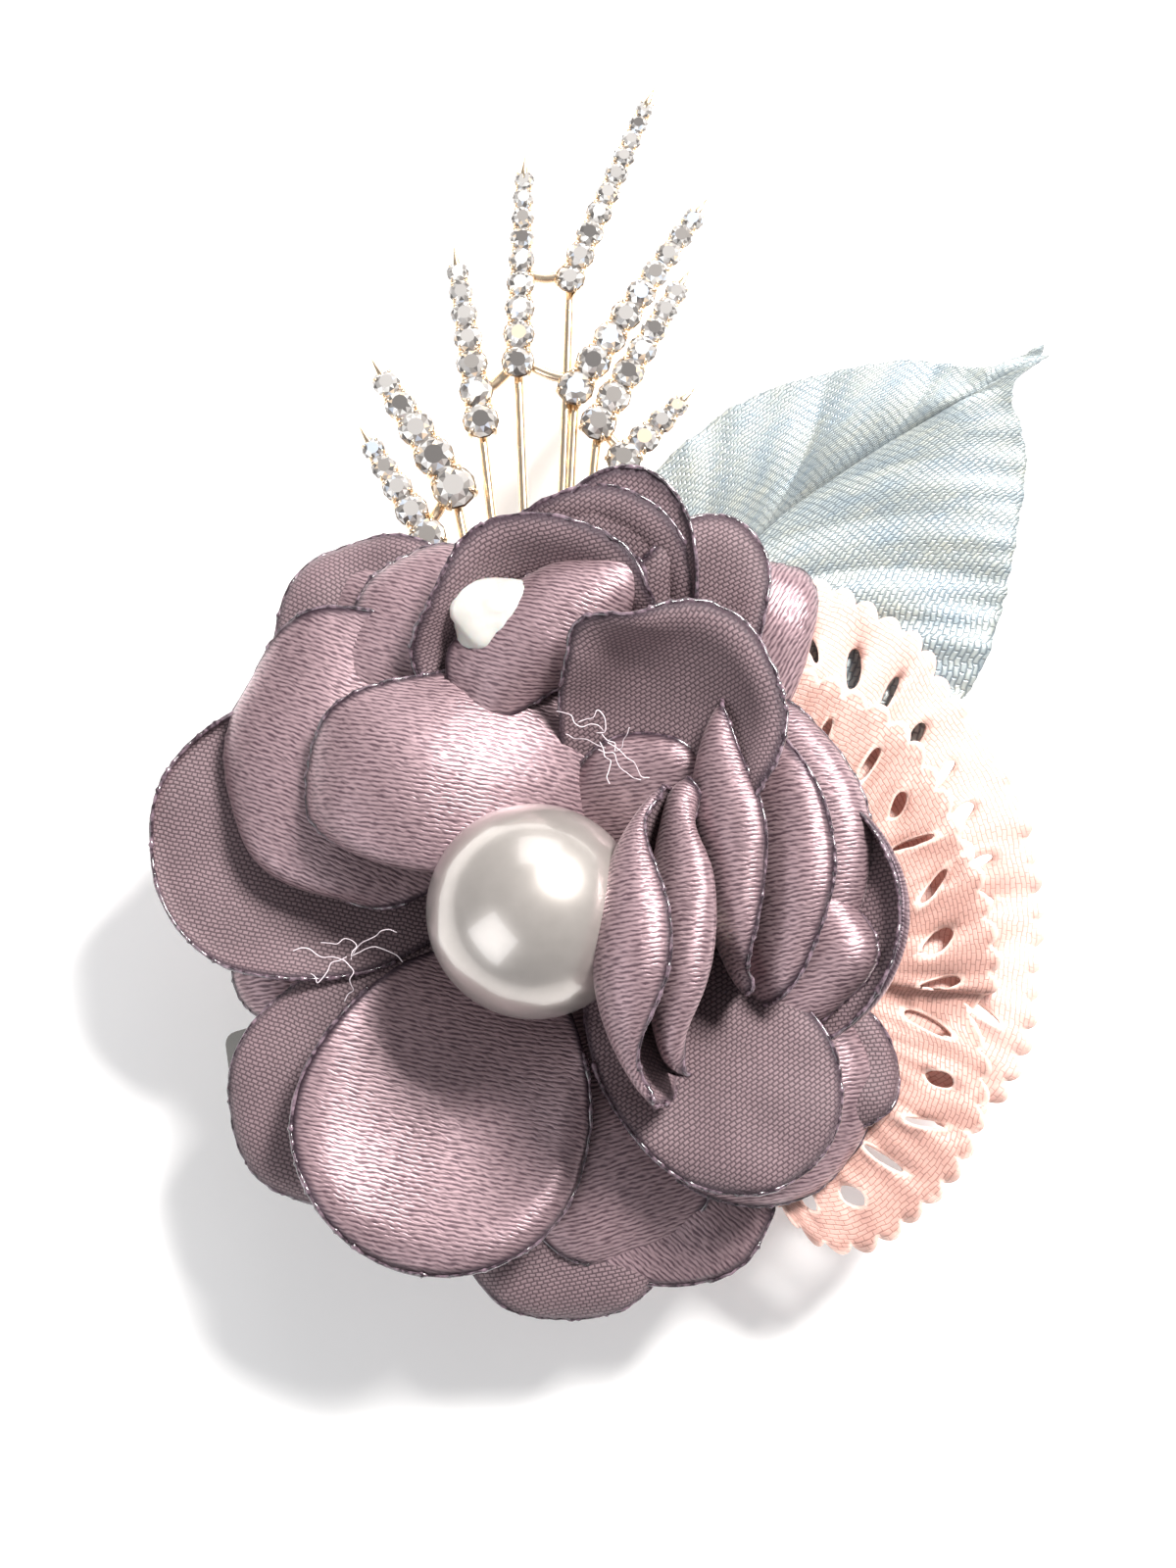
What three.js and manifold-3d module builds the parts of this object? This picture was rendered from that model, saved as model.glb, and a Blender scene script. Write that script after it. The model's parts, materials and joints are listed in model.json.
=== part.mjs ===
// Flower hair clip: a singed-satin flower round a pearl, with a crystal branch, a ribbon leaf and a
// cut-ribbon rosette, all glued to a felt disc on the upper arm of a sprung pinch clip.
//
// Millimetres, +Z up out of the flower's face, +Y towards the branch. The origin is the centre of
// the flat underside of the clip's lower arm, which is the face that lies against the head.
import * as THREE from "three";
import { mergeVertices } from "three/addons/utils/BufferGeometryUtils.js";
import Module from "manifold-3d";

const wasm = await Module();
wasm.setup();

// ---------------------------------------------------------------- driving dimensions
const CLIP_LENGTH = 46;
const CLIP_TURN = THREE.MathUtils.degToRad(16); // the clip is glued on slightly askew
const ARM_STEEL = 0.8; // strip thickness of both arms
const LOWER_WIDTH = 6.2;
const UPPER_WIDTH = 8;
const JAW_HEIGHT = 4.4; // clear height between the two arms
const PIVOT_X = -9.2;
const PIVOT_Z = 2.9;
const PIN_RADIUS = 0.8;
const EAR_RADIUS = 1.9;
const EAR_GAP = 0.12; // side clearance between the nested ears
const SPRING_WIRE = 0.55;
const SPRING_TURNS = 4;

const FELT_RADIUS = 15.5;
const FELT_THICKNESS = 1.1;
const GLUE_FILM = 0.3;
const GAP = 0.05; // between parts that touch

const FLOWER_AXIS = new THREE.Vector2(-0.8, 4.6);
const PEARL_RADIUS = 7;
const PEARL_HEIGHT = 22;
const SATIN = 0.45; // petal solids: two faces of satin and the air that the curl holds
const RIBBON = 0.4; // leaf and rosette solids

const ARM_TOP = ARM_STEEL + JAW_HEIGHT + ARM_STEEL;
const PAD_BOTTOM = ARM_TOP + GAP;
const FELT_BOTTOM = PAD_BOTTOM + GLUE_FILM + GAP;
const FELT_TOP = FELT_BOTTOM + FELT_THICKNESS;

// ---------------------------------------------------------------- materials
const material = (color, roughness, metalness = 0) =>
  new THREE.MeshStandardMaterial({ color, roughness, metalness });
const nickelSteel = material(0xb9b6b0, 0.28, 1);
const springSteel = material(0x8f8d8a, 0.35, 1);
const mauveSatin = material(0x8a6b75, 0.55);
const blushRibbon = material(0xeec0ae, 0.6);
const silverLeaf = material(0xc9d2d3, 0.45, 0.3);
const goldPlate = material(0xe2bd85, 0.25, 1);
const crystal = material(0xd9d9de, 0.05);
const pearlCoat = material(0xe6e1db, 0.2);
const ivoryFelt = material(0xd8d4cc, 0.95);
const hotGlue = material(0xdad8cf, 0.4);

// ---------------------------------------------------------------- solids
function toSolid(geometry) {
  const bare = geometry.clone();
  bare.deleteAttribute("normal");
  bare.deleteAttribute("uv");
  const merged = mergeVertices(bare, 1e-4);
  return new wasm.Manifold(
    new wasm.Mesh({
      numProp: 3,
      vertProperties: new Float32Array(merged.attributes.position.array),
      triVerts: new Uint32Array(merged.index.array),
    }),
  );
}

function toGeometry(solid) {
  const mesh = solid.getMesh();
  const geometry = new THREE.BufferGeometry();
  geometry.setAttribute("position", new THREE.BufferAttribute(mesh.vertProperties, 3));
  geometry.setIndex(new THREE.BufferAttribute(mesh.triVerts, 1));
  return geometry;
}

function union(geometries) {
  const solids = geometries.map(toSolid);
  return toGeometry(solids.reduce((whole, next) => whole.add(next)));
}

function cut(geometry, tools) {
  return toGeometry(tools.map(toSolid).reduce((left, tool) => left.subtract(tool), toSolid(geometry)));
}

function common(a, b) {
  return toGeometry(toSolid(a).intersect(toSolid(b)));
}

// A cylinder along Y, for ears, pins and pin holes.
function roundAcross(radius, length, x, y, z, sides = 20) {
  return new THREE.CylinderGeometry(radius, radius, length, sides).translate(x, y, z);
}

function box(x0, x1, y0, y1, z0, z1) {
  return new THREE.BoxGeometry(x1 - x0, y1 - y0, z1 - z0).translate(
    (x0 + x1) / 2,
    (y0 + y1) / 2,
    (z0 + z1) / 2,
  );
}

// A side profile in X and Z, extruded across Y about the clip's middle plane.
function acrossY(shape, width) {
  const made = new THREE.ExtrudeGeometry(shape, { depth: width, bevelEnabled: false, curveSegments: 5 });
  return made.rotateX(Math.PI / 2).translate(0, width / 2, 0);
}

// A plan outline in X and Y, extruded up Z.
function upZ(shape, z0, z1) {
  return new THREE.ExtrudeGeometry(shape, {
    depth: z1 - z0,
    bevelEnabled: false,
    curveSegments: 5,
  }).translate(0, 0, z0);
}

function tube(points, radius, sides, steps) {
  const curve = new THREE.CatmullRomCurve3(points);
  const section = new THREE.Shape();
  section.absarc(0, 0, radius, 0, 2 * Math.PI);
  const ring = new THREE.Shape(section.getPoints(sides).slice(0, sides));
  return new THREE.ExtrudeGeometry(ring, { steps, extrudePath: curve, bevelEnabled: false });
}

// A closed sheet of even thickness about a surface(u, v), with u from 0 to 1 and v from -1 to 1.
function sheet(surface, thickness, along, across) {
  const corner = (i, j) => surface(i / along, (2 * j) / across - 1);
  const nudge = 1e-3;
  const normalAt = (i, j) => {
    const u = THREE.MathUtils.clamp(i / along, nudge, 1 - nudge);
    const v = THREE.MathUtils.clamp((2 * j) / across - 1, nudge - 1, 1 - nudge);
    const du = surface(u + nudge, v).sub(surface(u - nudge, v));
    const dv = surface(u, v + nudge).sub(surface(u, v - nudge));
    return du.cross(dv).normalize();
  };
  const positions = [];
  for (const side of [1, -1])
    for (let i = 0; i <= along; i++)
      for (let j = 0; j <= across; j++)
        positions.push(...corner(i, j).addScaledVector(normalAt(i, j), (side * thickness) / 2));
  const row = across + 1;
  const under = (along + 1) * row;
  const faces = [];
  const quad = (a, b, c, d) => faces.push(a, b, c, a, c, d);
  for (let i = 0; i < along; i++)
    for (let j = 0; j < across; j++) {
      const a = i * row + j;
      quad(a, a + row, a + row + 1, a + 1);
      quad(under + a, under + a + 1, under + a + row + 1, under + a + row);
    }
  const wall = (a, b) => quad(b, a, under + a, under + b);
  for (let i = 0; i < along; i++) {
    wall(i * row, (i + 1) * row);
    wall((i + 1) * row + across, i * row + across);
  }
  for (let j = 0; j < across; j++) {
    wall(j + 1, j);
    wall(along * row + j, along * row + j + 1);
  }
  const geometry = new THREE.BufferGeometry();
  geometry.setAttribute("position", new THREE.Float32BufferAttribute(positions, 3));
  geometry.setIndex(faces);
  return geometry;
}

function piece(name, geometry, finish) {
  const mesh = new THREE.Mesh(geometry, finish);
  mesh.name = name;
  return mesh;
}

// ---------------------------------------------------------------- the pinch clip
// Built with its tabs at -X and its nose at +X, then turned as a whole.
function armOutline(width, noseWidth, noseX, tabX) {
  const shape = new THREE.Shape();
  const half = width / 2;
  const noseHalf = noseWidth / 2;
  const corner = 1.1;
  shape.moveTo(tabX + corner, -half);
  shape.lineTo(noseX * 0.45, -half);
  shape.lineTo(noseX - noseHalf, -noseHalf);
  shape.absarc(noseX - noseHalf, 0, noseHalf, -Math.PI / 2, Math.PI / 2);
  shape.lineTo(noseX * 0.45, half);
  shape.lineTo(tabX + corner, half);
  shape.quadraticCurveTo(tabX + 0.15, half, tabX + 0.1, half - corner);
  shape.quadraticCurveTo(tabX - 0.35, 0, tabX + 0.1, -half + corner);
  shape.quadraticCurveTo(tabX + 0.15, -half, tabX + corner, -half);
  return shape;
}

// A tombstone-shaped ear with its round end about the pivot, between y0 and y1.
function ear(y0, y1, rootZ) {
  const low = Math.min(rootZ, PIVOT_Z);
  const high = Math.max(rootZ, PIVOT_Z);
  const round = roundAcross(EAR_RADIUS, y1 - y0, PIVOT_X, (y0 + y1) / 2, PIVOT_Z);
  const root = box(PIVOT_X - EAR_RADIUS, PIVOT_X + EAR_RADIUS, y0, y1, low, high);
  return [round, root];
}

const pinHole = () => roundAcross(PIN_RADIUS + 0.06, 2 * UPPER_WIDTH, PIVOT_X, 0, PIVOT_Z);

function lowerArm() {
  const strip = upZ(armOutline(LOWER_WIDTH, 4.2, CLIP_LENGTH / 2, -CLIP_LENGTH / 2 + 1), 0, ARM_STEEL);
  const outer = LOWER_WIDTH / 2;
  const inner = outer - ARM_STEEL * 0.75;
  const ears = [...ear(inner, outer, ARM_STEEL / 2), ...ear(-outer, -inner, ARM_STEEL / 2)];
  const teeth = [];
  const toothPitch = 1.7;
  for (let i = 0; i < 6; i++) {
    const x = 9 + i * toothPitch;
    const reach = 1.9 - i * 0.12; // the teeth follow the taper to the nose
    const profile = new THREE.Shape([
      new THREE.Vector2(x - 0.6, ARM_STEEL - 0.2),
      new THREE.Vector2(x + 0.6, ARM_STEEL - 0.2),
      new THREE.Vector2(x - 0.45, ARM_STEEL + 0.75),
    ]);
    teeth.push(acrossY(profile, 2 * reach));
  }
  return cut(union([strip, ...ears, ...teeth]), [pinHole()]);
}

function upperArm() {
  const top = ARM_TOP;
  const under = ARM_TOP - ARM_STEEL;
  const tab = -CLIP_LENGTH / 2 - 1;
  const nose = CLIP_LENGTH / 2 + 1;
  const bite = ARM_STEEL + GAP; // where the nose closes on the lower arm
  const side = new THREE.Shape();
  side.moveTo(tab, top);
  side.lineTo(tab, under);
  side.lineTo(14.5, under);
  side.bezierCurveTo(18, under, 19.5, 3.6, 21.3, bite);
  side.lineTo(nose, bite);
  side.lineTo(nose, bite + 0.7);
  side.lineTo(22, bite + 0.7);
  side.bezierCurveTo(20.2, 4.6, 18.8, top, 15, top);
  side.lineTo(tab, top);
  const formed = common(
    acrossY(side, UPPER_WIDTH + 2),
    upZ(armOutline(UPPER_WIDTH, 5, CLIP_LENGTH / 2, -CLIP_LENGTH / 2), -1, top + 1),
  );
  const outer = UPPER_WIDTH / 2;
  const inner = LOWER_WIDTH / 2 + EAR_GAP;
  const root = under + ARM_STEEL / 2;
  const ears = [...ear(inner, outer, root), ...ear(-outer, -inner, root)];
  return cut(union([formed, ...ears]), [pinHole()]);
}

// The rivet: a plain shank with a formed head outside each upper ear.
function hingePin() {
  const shank = UPPER_WIDTH / 2 + EAR_GAP;
  const head = 0.45;
  const heads = [1, -1].map((s) =>
    roundAcross(PIN_RADIUS + 0.5, head, PIVOT_X, s * (shank + head / 2), PIVOT_Z, 16),
  );
  return union([roundAcross(PIN_RADIUS, 2 * shank + head, PIVOT_X, 0, PIVOT_Z, 16), ...heads]);
}

// A torsion coil round the pin with both legs reaching back between the tabs.
function torsionSpring() {
  const coil = PIN_RADIUS + SPRING_WIRE / 2 + 0.14;
  const pitch = SPRING_WIRE + 0.12;
  const perTurn = 12;
  const turns = SPRING_TURNS + 0.5; // on at the bottom, off at the top
  const end = (turns * pitch) / 2;
  const legEnd = PIVOT_X - 9;
  const low = ARM_STEEL + SPRING_WIRE / 2 + GAP;
  const high = ARM_TOP - ARM_STEEL - SPRING_WIRE / 2 - GAP;
  const points = [
    new THREE.Vector3(legEnd, -end, low),
    new THREE.Vector3(PIVOT_X - 5, -end, low + 0.1),
    new THREE.Vector3(PIVOT_X - 1.4, -end, PIVOT_Z - coil - 0.06),
  ];
  for (let i = 0; i <= turns * perTurn; i++) {
    const angle = -Math.PI / 2 + (2 * Math.PI * i) / perTurn;
    const y = -end + (pitch * i) / perTurn;
    points.push(
      new THREE.Vector3(PIVOT_X + coil * Math.cos(angle), y, PIVOT_Z + coil * Math.sin(angle)),
    );
  }
  points.push(new THREE.Vector3(PIVOT_X - 1.4, end, PIVOT_Z + coil + 0.06));
  points.push(new THREE.Vector3(PIVOT_X - 5, end, high - 0.2));
  points.push(new THREE.Vector3(legEnd, end, high));
  return tube(points, SPRING_WIRE / 2, 6, Math.round(points.length * 1.5));
}

function clip() {
  const group = new THREE.Group();
  group.add(
    piece("clip_lower_arm", lowerArm(), nickelSteel),
    piece("clip_upper_arm", upperArm(), nickelSteel),
    piece("clip_hinge_pin", hingePin(), springSteel),
    piece("clip_torsion_spring", torsionSpring(), springSteel),
    piece("adhesive_pad", box(-7, 13, -3.4, 3.4, PAD_BOTTOM, PAD_BOTTOM + GLUE_FILM), hotGlue),
  );
  group.rotation.z = CLIP_TURN;
  return group;
}

// ---------------------------------------------------------------- felt, glue and pearl
function feltDisc() {
  return new THREE.CylinderGeometry(FELT_RADIUS, FELT_RADIUS, FELT_THICKNESS, 40)
    .rotateX(Math.PI / 2)
    .translate(0, 0, FELT_BOTTOM + FELT_THICKNESS / 2);
}

// Everything is threaded on one mound of glue: it rises through the petals and into the pearl's hole.
function glueCore() {
  const radius = 2.5;
  const top = PEARL_HEIGHT - PEARL_RADIUS - 0.12;
  const nub = 0.5;
  const profile = [
    [0, FELT_TOP + GAP],
    [radius + 0.3, FELT_TOP + GAP],
    [radius, FELT_TOP + 1.2],
    [radius, top - 0.6],
    [radius - 0.6, top],
    [nub, top],
    [nub, top + 4],
    [0, top + 4],
  ].map(([r, z]) => new THREE.Vector2(r, z));
  return new THREE.LatheGeometry(profile, 14).rotateX(Math.PI / 2);
}

function pearl() {
  const ball = new THREE.SphereGeometry(PEARL_RADIUS, 28, 16)
    .rotateX(Math.PI / 2)
    .translate(0, 0, PEARL_HEIGHT);
  const depth = PEARL_RADIUS;
  const hole = new THREE.CylinderGeometry(0.65, 0.65, depth, 10)
    .rotateX(Math.PI / 2)
    .translate(0, 0, PEARL_HEIGHT - PEARL_RADIUS + depth / 2 - 1);
  return cut(ball, [hole]);
}

function glueDab(radial, azimuth, z, sizes) {
  const angle = THREE.MathUtils.degToRad(azimuth);
  return new THREE.SphereGeometry(1, 10, 7)
    .rotateX(Math.PI / 2)
    .scale(...sizes)
    .rotateZ(angle)
    .translate(radial * Math.cos(angle), radial * Math.sin(angle), z);
}

// ---------------------------------------------------------------- petals
// Each ring of petals lies on its own bowl, drawn as a curve in radius and height.
const BOWLS = {
  outer: [[3.3, 10.9], [14, 12.6], [26.5, 11.6]],
  second: [[3.5, 12.1], [14, 15.6], [24.5, 15.6]],
  middle: [[3.8, 13.4], [14, 17.5], [21.5, 22]],
  inner: [[4.3, 14.9], [12.5, 17.2], [15.5, 26]],
  heart: [[8.3, 18.2], [9.9, 20], [9.9, 28]],
};

// name, bowl, direction from the flower's axis, half width in degrees, share of the bowl's reach
const PETALS = [
  ["outer_petal_right", "outer", 0, 24, 1],
  ["outer_petal_upper_right", "outer", 52, 24, 0.96],
  ["outer_petal_upper_left", "outer", 122, 20, 1],
  ["outer_petal_left", "outer", 165, 20, 1],
  ["outer_petal_lower_left", "outer", 222, 21, 0.98],
  ["outer_petal_bottom", "outer", 268, 17, 1],
  ["outer_petal_lower_right", "outer", 304, 17, 1],
  ["second_petal_right", "second", 10, 23, 1],
  ["second_petal_top", "second", 74, 16, 1],
  ["second_petal_upper_left", "second", 112, 18, 0.97],
  ["second_petal_left", "second", 160, 25, 0.95],
  ["second_petal_lower_left", "second", 236, 24, 1],
  ["second_petal_bottom", "second", 281, 18, 0.96],
  ["second_petal_lower_right", "second", 322, 19, 1],
  ["middle_petal_right", "middle", 5, 24, 0.96],
  ["middle_petal_top", "middle", 84, 25, 1],
  ["middle_petal_lower_right", "middle", 312, 26, 1],
  ["inner_petal_left", "inner", 148, 26, 1],
  ["inner_petal_top", "inner", 97, 22, 1],
  ["inner_petal_upper_right", "inner", 52, 20, 0.97],
  ["inner_petal_right", "inner", 14, 16, 0.92],
  ["heart_petal_right", "heart", 0, 17, 0.95],
  ["heart_petal_lower_right", "heart", 324, 17, 1],
];

function petal(bowl, azimuth, half, reach) {
  const [start, bend, end] = BOWLS[bowl].map(([r, z]) => new THREE.Vector2(r, z));
  const line = new THREE.QuadraticBezierCurve(start, bend, end);
  const broadFrom = 0.62; // the tip's rounding starts here
  return sheet((u, v) => {
    const at = line.getPoint(u * reach);
    const past = Math.max(0, (u - broadFrom) / (1 - broadFrom));
    const spread = (0.8 + 0.2 * Math.min(1, u / broadFrom)) * Math.sqrt(1 - 0.72 * past * past);
    const angle = THREE.MathUtils.degToRad(azimuth - v * half * spread);
    return new THREE.Vector3(at.x * Math.cos(angle), at.x * Math.sin(angle), at.y);
  }, SATIN, 6, 4);
}

// ---------------------------------------------------------------- leaf
// A ribbon leaf folded a little along its midrib, so its two halves differ in plan.
function leaf() {
  const rib = new THREE.QuadraticBezierCurve3(
    new THREE.Vector3(5, 10.5, 8.05),
    new THREE.Vector3(18, 33, 8.5),
    new THREE.Vector3(35, 39.5, 11.2),
  );
  const upperHalf = 9;
  const lowerHalf = 14.5;
  return sheet((u, v) => {
    const at = rib.getPoint(u);
    const along = rib.getTangent(u).setZ(0).normalize();
    const outline = Math.pow(Math.sin(Math.PI * (0.06 + 0.9 * Math.pow(u, 0.95))), 0.62);
    const halfWidth = (v > 0 ? upperHalf : lowerHalf) * outline;
    const acrossX = -along.y * halfWidth * v;
    const acrossY = along.x * halfWidth * v;
    const lift = v > 0 ? 0.9 * v * outline : -0.5 * v * v * outline;
    return new THREE.Vector3(at.x + acrossX, at.y + acrossY, at.z + lift);
  }, RIBBON, 12, 6);
}

function leafStem() {
  const z = FELT_TOP + 0.34;
  return tube(
    [new THREE.Vector3(3.6, 6.2, z), new THREE.Vector3(4.1, 8, z), new THREE.Vector3(4.7, 9.7, z)],
    0.28,
    6,
    3,
  );
}

// ---------------------------------------------------------------- cut-ribbon rosette
// Two gathered half rounds of pierced ribbon that fan out from under the petals.
function rosette(centre, innerRadius, outerRadius, from, to, low, high, ruffles) {
  return sheet((u, v) => {
    const angle = THREE.MathUtils.degToRad(from + ((to - from) * (v + 1)) / 2);
    const radius = innerRadius + (outerRadius - innerRadius) * u;
    const wave = 0.18 * u * Math.sin(ruffles * Math.PI * (v + 1));
    return new THREE.Vector3(
      centre[0] + radius * Math.cos(angle),
      centre[1] + radius * Math.sin(angle),
      low + (high - low) * u * u + wave,
    );
  }, RIBBON, 4, 22);
}

// ---------------------------------------------------------------- crystal branch
// Each row of stones runs from its foot to its tip, in plan.
const BRANCH_ROWS = [
  { foot: [-7.2, 27], tip: [-12.9, 35.9], stones: 5 },
  { foot: [-5.2, 30.3], tip: [-12.1, 40.8], stones: 5 },
  { foot: [-3.9, 35.2], tip: [-6.2, 49.1], stones: 7 },
  { foot: [-1.6, 39.6], tip: [-1.0, 55.9], stones: 9 },
  { foot: [1.8, 45.9], tip: [8.4, 61.0], stones: 10 },
  { foot: [1.9, 37.8], tip: [12.2, 52.7], stones: 9 },
  { foot: [3.6, 35.2], tip: [10.9, 47.4], stones: 7 },
  { foot: [5.2, 32.8], tip: [11.3, 38.7], stones: 4 },
];
const BRANCH_ROOT = [0.4, 9];
const BRANCH_LOW = 9; // height of the wires at the root
const BRANCH_RISE = 0.05; // height gained per millimetre towards the tips
const WIRE = 0.42;
const TIP_LENGTH = 1.3;
const SMALLEST_STONE = 0.62; // the last stone in a row over the first one

const branchHeight = (y) => BRANCH_LOW + BRANCH_RISE * (y - BRANCH_ROOT[1]);
const onBranch = ([x, y]) => new THREE.Vector3(x, y, branchHeight(y));

function stonesOf({ foot, tip, stones }) {
  const a = new THREE.Vector2(...foot);
  const b = new THREE.Vector2(...tip);
  const run = b.clone().sub(a);
  const room = run.length() - TIP_LENGTH;
  run.normalize();
  const share = (i) => 1 + ((SMALLEST_STONE - 1) * i) / (stones - 1);
  const all = Array.from({ length: stones }, (_, i) => share(i));
  const unit = room / (2 * all.reduce((sum, s) => sum + s, 0));
  let along = 0;
  return all.map((s) => {
    const radius = s * unit;
    const at = a.clone().addScaledVector(run, along + radius);
    along += 2 * radius;
    return { x: at.x, y: at.y, z: branchHeight(at.y), radius };
  });
}

function branchFrame() {
  const parts = [];
  for (const row of BRANCH_ROWS) {
    for (const s of stonesOf(row))
      parts.push(
        new THREE.CylinderGeometry(s.radius + 0.12, s.radius + 0.02, 0.9, 9)
          .rotateX(Math.PI / 2)
          .translate(s.x, s.y, s.z + 0.1),
      );
    const foot = onBranch(row.foot);
    const tip = onBranch(row.tip);
    const back = tip.clone().lerp(foot, 0.2);
    parts.push(tube([back, tip.clone().lerp(foot, 0.1), tip], 0.32, 5, 2));
    const root = onBranch(BRANCH_ROOT);
    const middle = new THREE.Vector3(
      root.x + (foot.x - root.x) * 0.45,
      root.y + (foot.y - root.y) * 0.55,
      branchHeight(root.y + (foot.y - root.y) * 0.55),
    );
    parts.push(tube([root, middle, foot.clone().lerp(tip, 0.06)], WIRE, 6, 5));
  }
  const ties = [
    [[-1.4, 41], [-3.9, 38.4]],
    [[-0.8, 48], [2.2, 47.2]],
    [[-1.2, 40.6], [2.6, 39.2]],
    [[3.9, 35.6], [6.2, 34.2]],
    [[-5.4, 31], [-7.4, 28.2]],
  ];
  for (const [a, b] of ties) {
    const ends = [onBranch(a), onBranch(b)];
    parts.push(tube([ends[0], ends[0].clone().lerp(ends[1], 0.5), ends[1]], 0.38, 6, 2));
  }
  const [rx, ry] = BRANCH_ROOT;
  parts.push(box(rx - 1.6, rx + 1.6, ry - 3.4, ry + 2.5, FELT_TOP + GAP, BRANCH_LOW + 0.2));
  return union(parts);
}

function stoneRow(row) {
  return union(
    stonesOf(row).map(({ x, y, z, radius }) => {
      const girdle = radius * 1.09; // neighbours just meet
      const profile = [
        [0, 0],
        [girdle * 0.85, 0],
        [girdle, girdle * 0.3],
        [girdle * 0.55, girdle * 0.8],
        [0, girdle * 0.8],
      ].map(([r, h]) => new THREE.Vector2(r, h));
      return new THREE.LatheGeometry(profile, 10).rotateX(Math.PI / 2).translate(x, y, z + 0.55 + GAP);
    }),
  );
}

// ---------------------------------------------------------------- the flower and its trimmings
function decoration() {
  const group = new THREE.Group();
  group.add(
    piece("felt_backing", feltDisc(), ivoryFelt),
    piece("glue_core", glueCore(), hotGlue),
    piece("glue_dab_upper", glueDab(18, 98, 22.2, [1.5, 2.2, 1.3]), hotGlue),
    piece("glue_dab_right", glueDab(11.2, 350, 22.8, [0.65, 1.3, 1.8]), hotGlue),
    piece("pearl_bead", pearl(), pearlCoat),
  );
  for (const [name, ...shape] of PETALS) group.add(piece(name, petal(...shape), mauveSatin));
  group.add(
    piece("ribbon_leaf", leaf(), silverLeaf),
    piece("leaf_stem_wire", leafStem(), goldPlate),
    piece("rosette_back_layer", rosette([14.6, 3.3], 5, 20.4, 78, -50, 8.95, 9.9, 4), blushRibbon),
    piece("rosette_front_layer", rosette([13, -4.6], 5, 19.2, 60, -75, 9.75, 11.2, 3), blushRibbon),
    piece("branch_frame", branchFrame(), goldPlate),
  );
  BRANCH_ROWS.forEach((row, i) => group.add(piece(`crystal_row_${i + 1}`, stoneRow(row), crystal)));
  group.position.set(FLOWER_AXIS.x, FLOWER_AXIS.y, 0);
  return group;
}

const hairClip = new THREE.Group();
hairClip.add(clip(), decoration());

export default hairClip;
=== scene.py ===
"""Flower hair clip: a singed-satin flower round a pearl, with a crystal branch, a ribbon leaf and a
pierced ribbon rosette, on a sprung pinch clip. Laid out as an add-on and run as a script."""

import json
import math

import bpy
import numpy as np
from bpy.props import FloatProperty, FloatVectorProperty, PointerProperty
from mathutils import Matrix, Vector, noise
from mathutils.geometry import delaunay_2d_cdt


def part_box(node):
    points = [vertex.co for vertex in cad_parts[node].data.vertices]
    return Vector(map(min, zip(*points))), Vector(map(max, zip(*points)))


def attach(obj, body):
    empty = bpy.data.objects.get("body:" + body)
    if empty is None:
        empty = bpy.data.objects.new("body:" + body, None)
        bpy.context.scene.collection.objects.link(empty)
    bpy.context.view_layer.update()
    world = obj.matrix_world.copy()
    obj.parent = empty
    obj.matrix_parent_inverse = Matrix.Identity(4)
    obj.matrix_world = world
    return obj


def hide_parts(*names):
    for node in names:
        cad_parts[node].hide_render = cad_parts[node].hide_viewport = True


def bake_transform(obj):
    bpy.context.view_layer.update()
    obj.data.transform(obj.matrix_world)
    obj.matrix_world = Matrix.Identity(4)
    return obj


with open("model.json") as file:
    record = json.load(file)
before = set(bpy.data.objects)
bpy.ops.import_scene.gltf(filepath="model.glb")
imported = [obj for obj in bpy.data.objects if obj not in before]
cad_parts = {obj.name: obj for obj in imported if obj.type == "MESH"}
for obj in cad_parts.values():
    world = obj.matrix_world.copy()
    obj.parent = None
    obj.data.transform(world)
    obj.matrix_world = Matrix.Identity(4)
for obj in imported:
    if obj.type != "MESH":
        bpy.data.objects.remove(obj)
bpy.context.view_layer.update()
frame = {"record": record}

bl_info = {
    "name": "Flower hair clip",
    "version": (1, 0, 0),
    "blender": (4, 5, 0),
    "location": "3D View > Sidebar > Hair clip",
    "description": "Builds a satin flower hair clip around its packed frame",
    "category": "Add Mesh",
}

MM = 0.001
JAW = "upper_jaw"  # the flower and its trimmings are glued to this body


def box_mm(node):
    """The lowest corner, highest corner and middle of a CAD node, in millimetres."""
    low, high = (np.array(corner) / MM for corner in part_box(node))
    return low, high, (low + high) / 2


PEARL_LOW, PEARL_HIGH, PEARL_MIDDLE = box_mm("pearl_bead")
AXIS = np.array([PEARL_MIDDLE[0], PEARL_MIDDLE[1], 0.0])  # the flower's axis, in plan
PEARL_RADIUS = (PEARL_HIGH[0] - PEARL_LOW[0]) / 2
PEARL_CENTRE = np.array([AXIS[0], AXIS[1], PEARL_HIGH[2] - PEARL_RADIUS])


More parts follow.
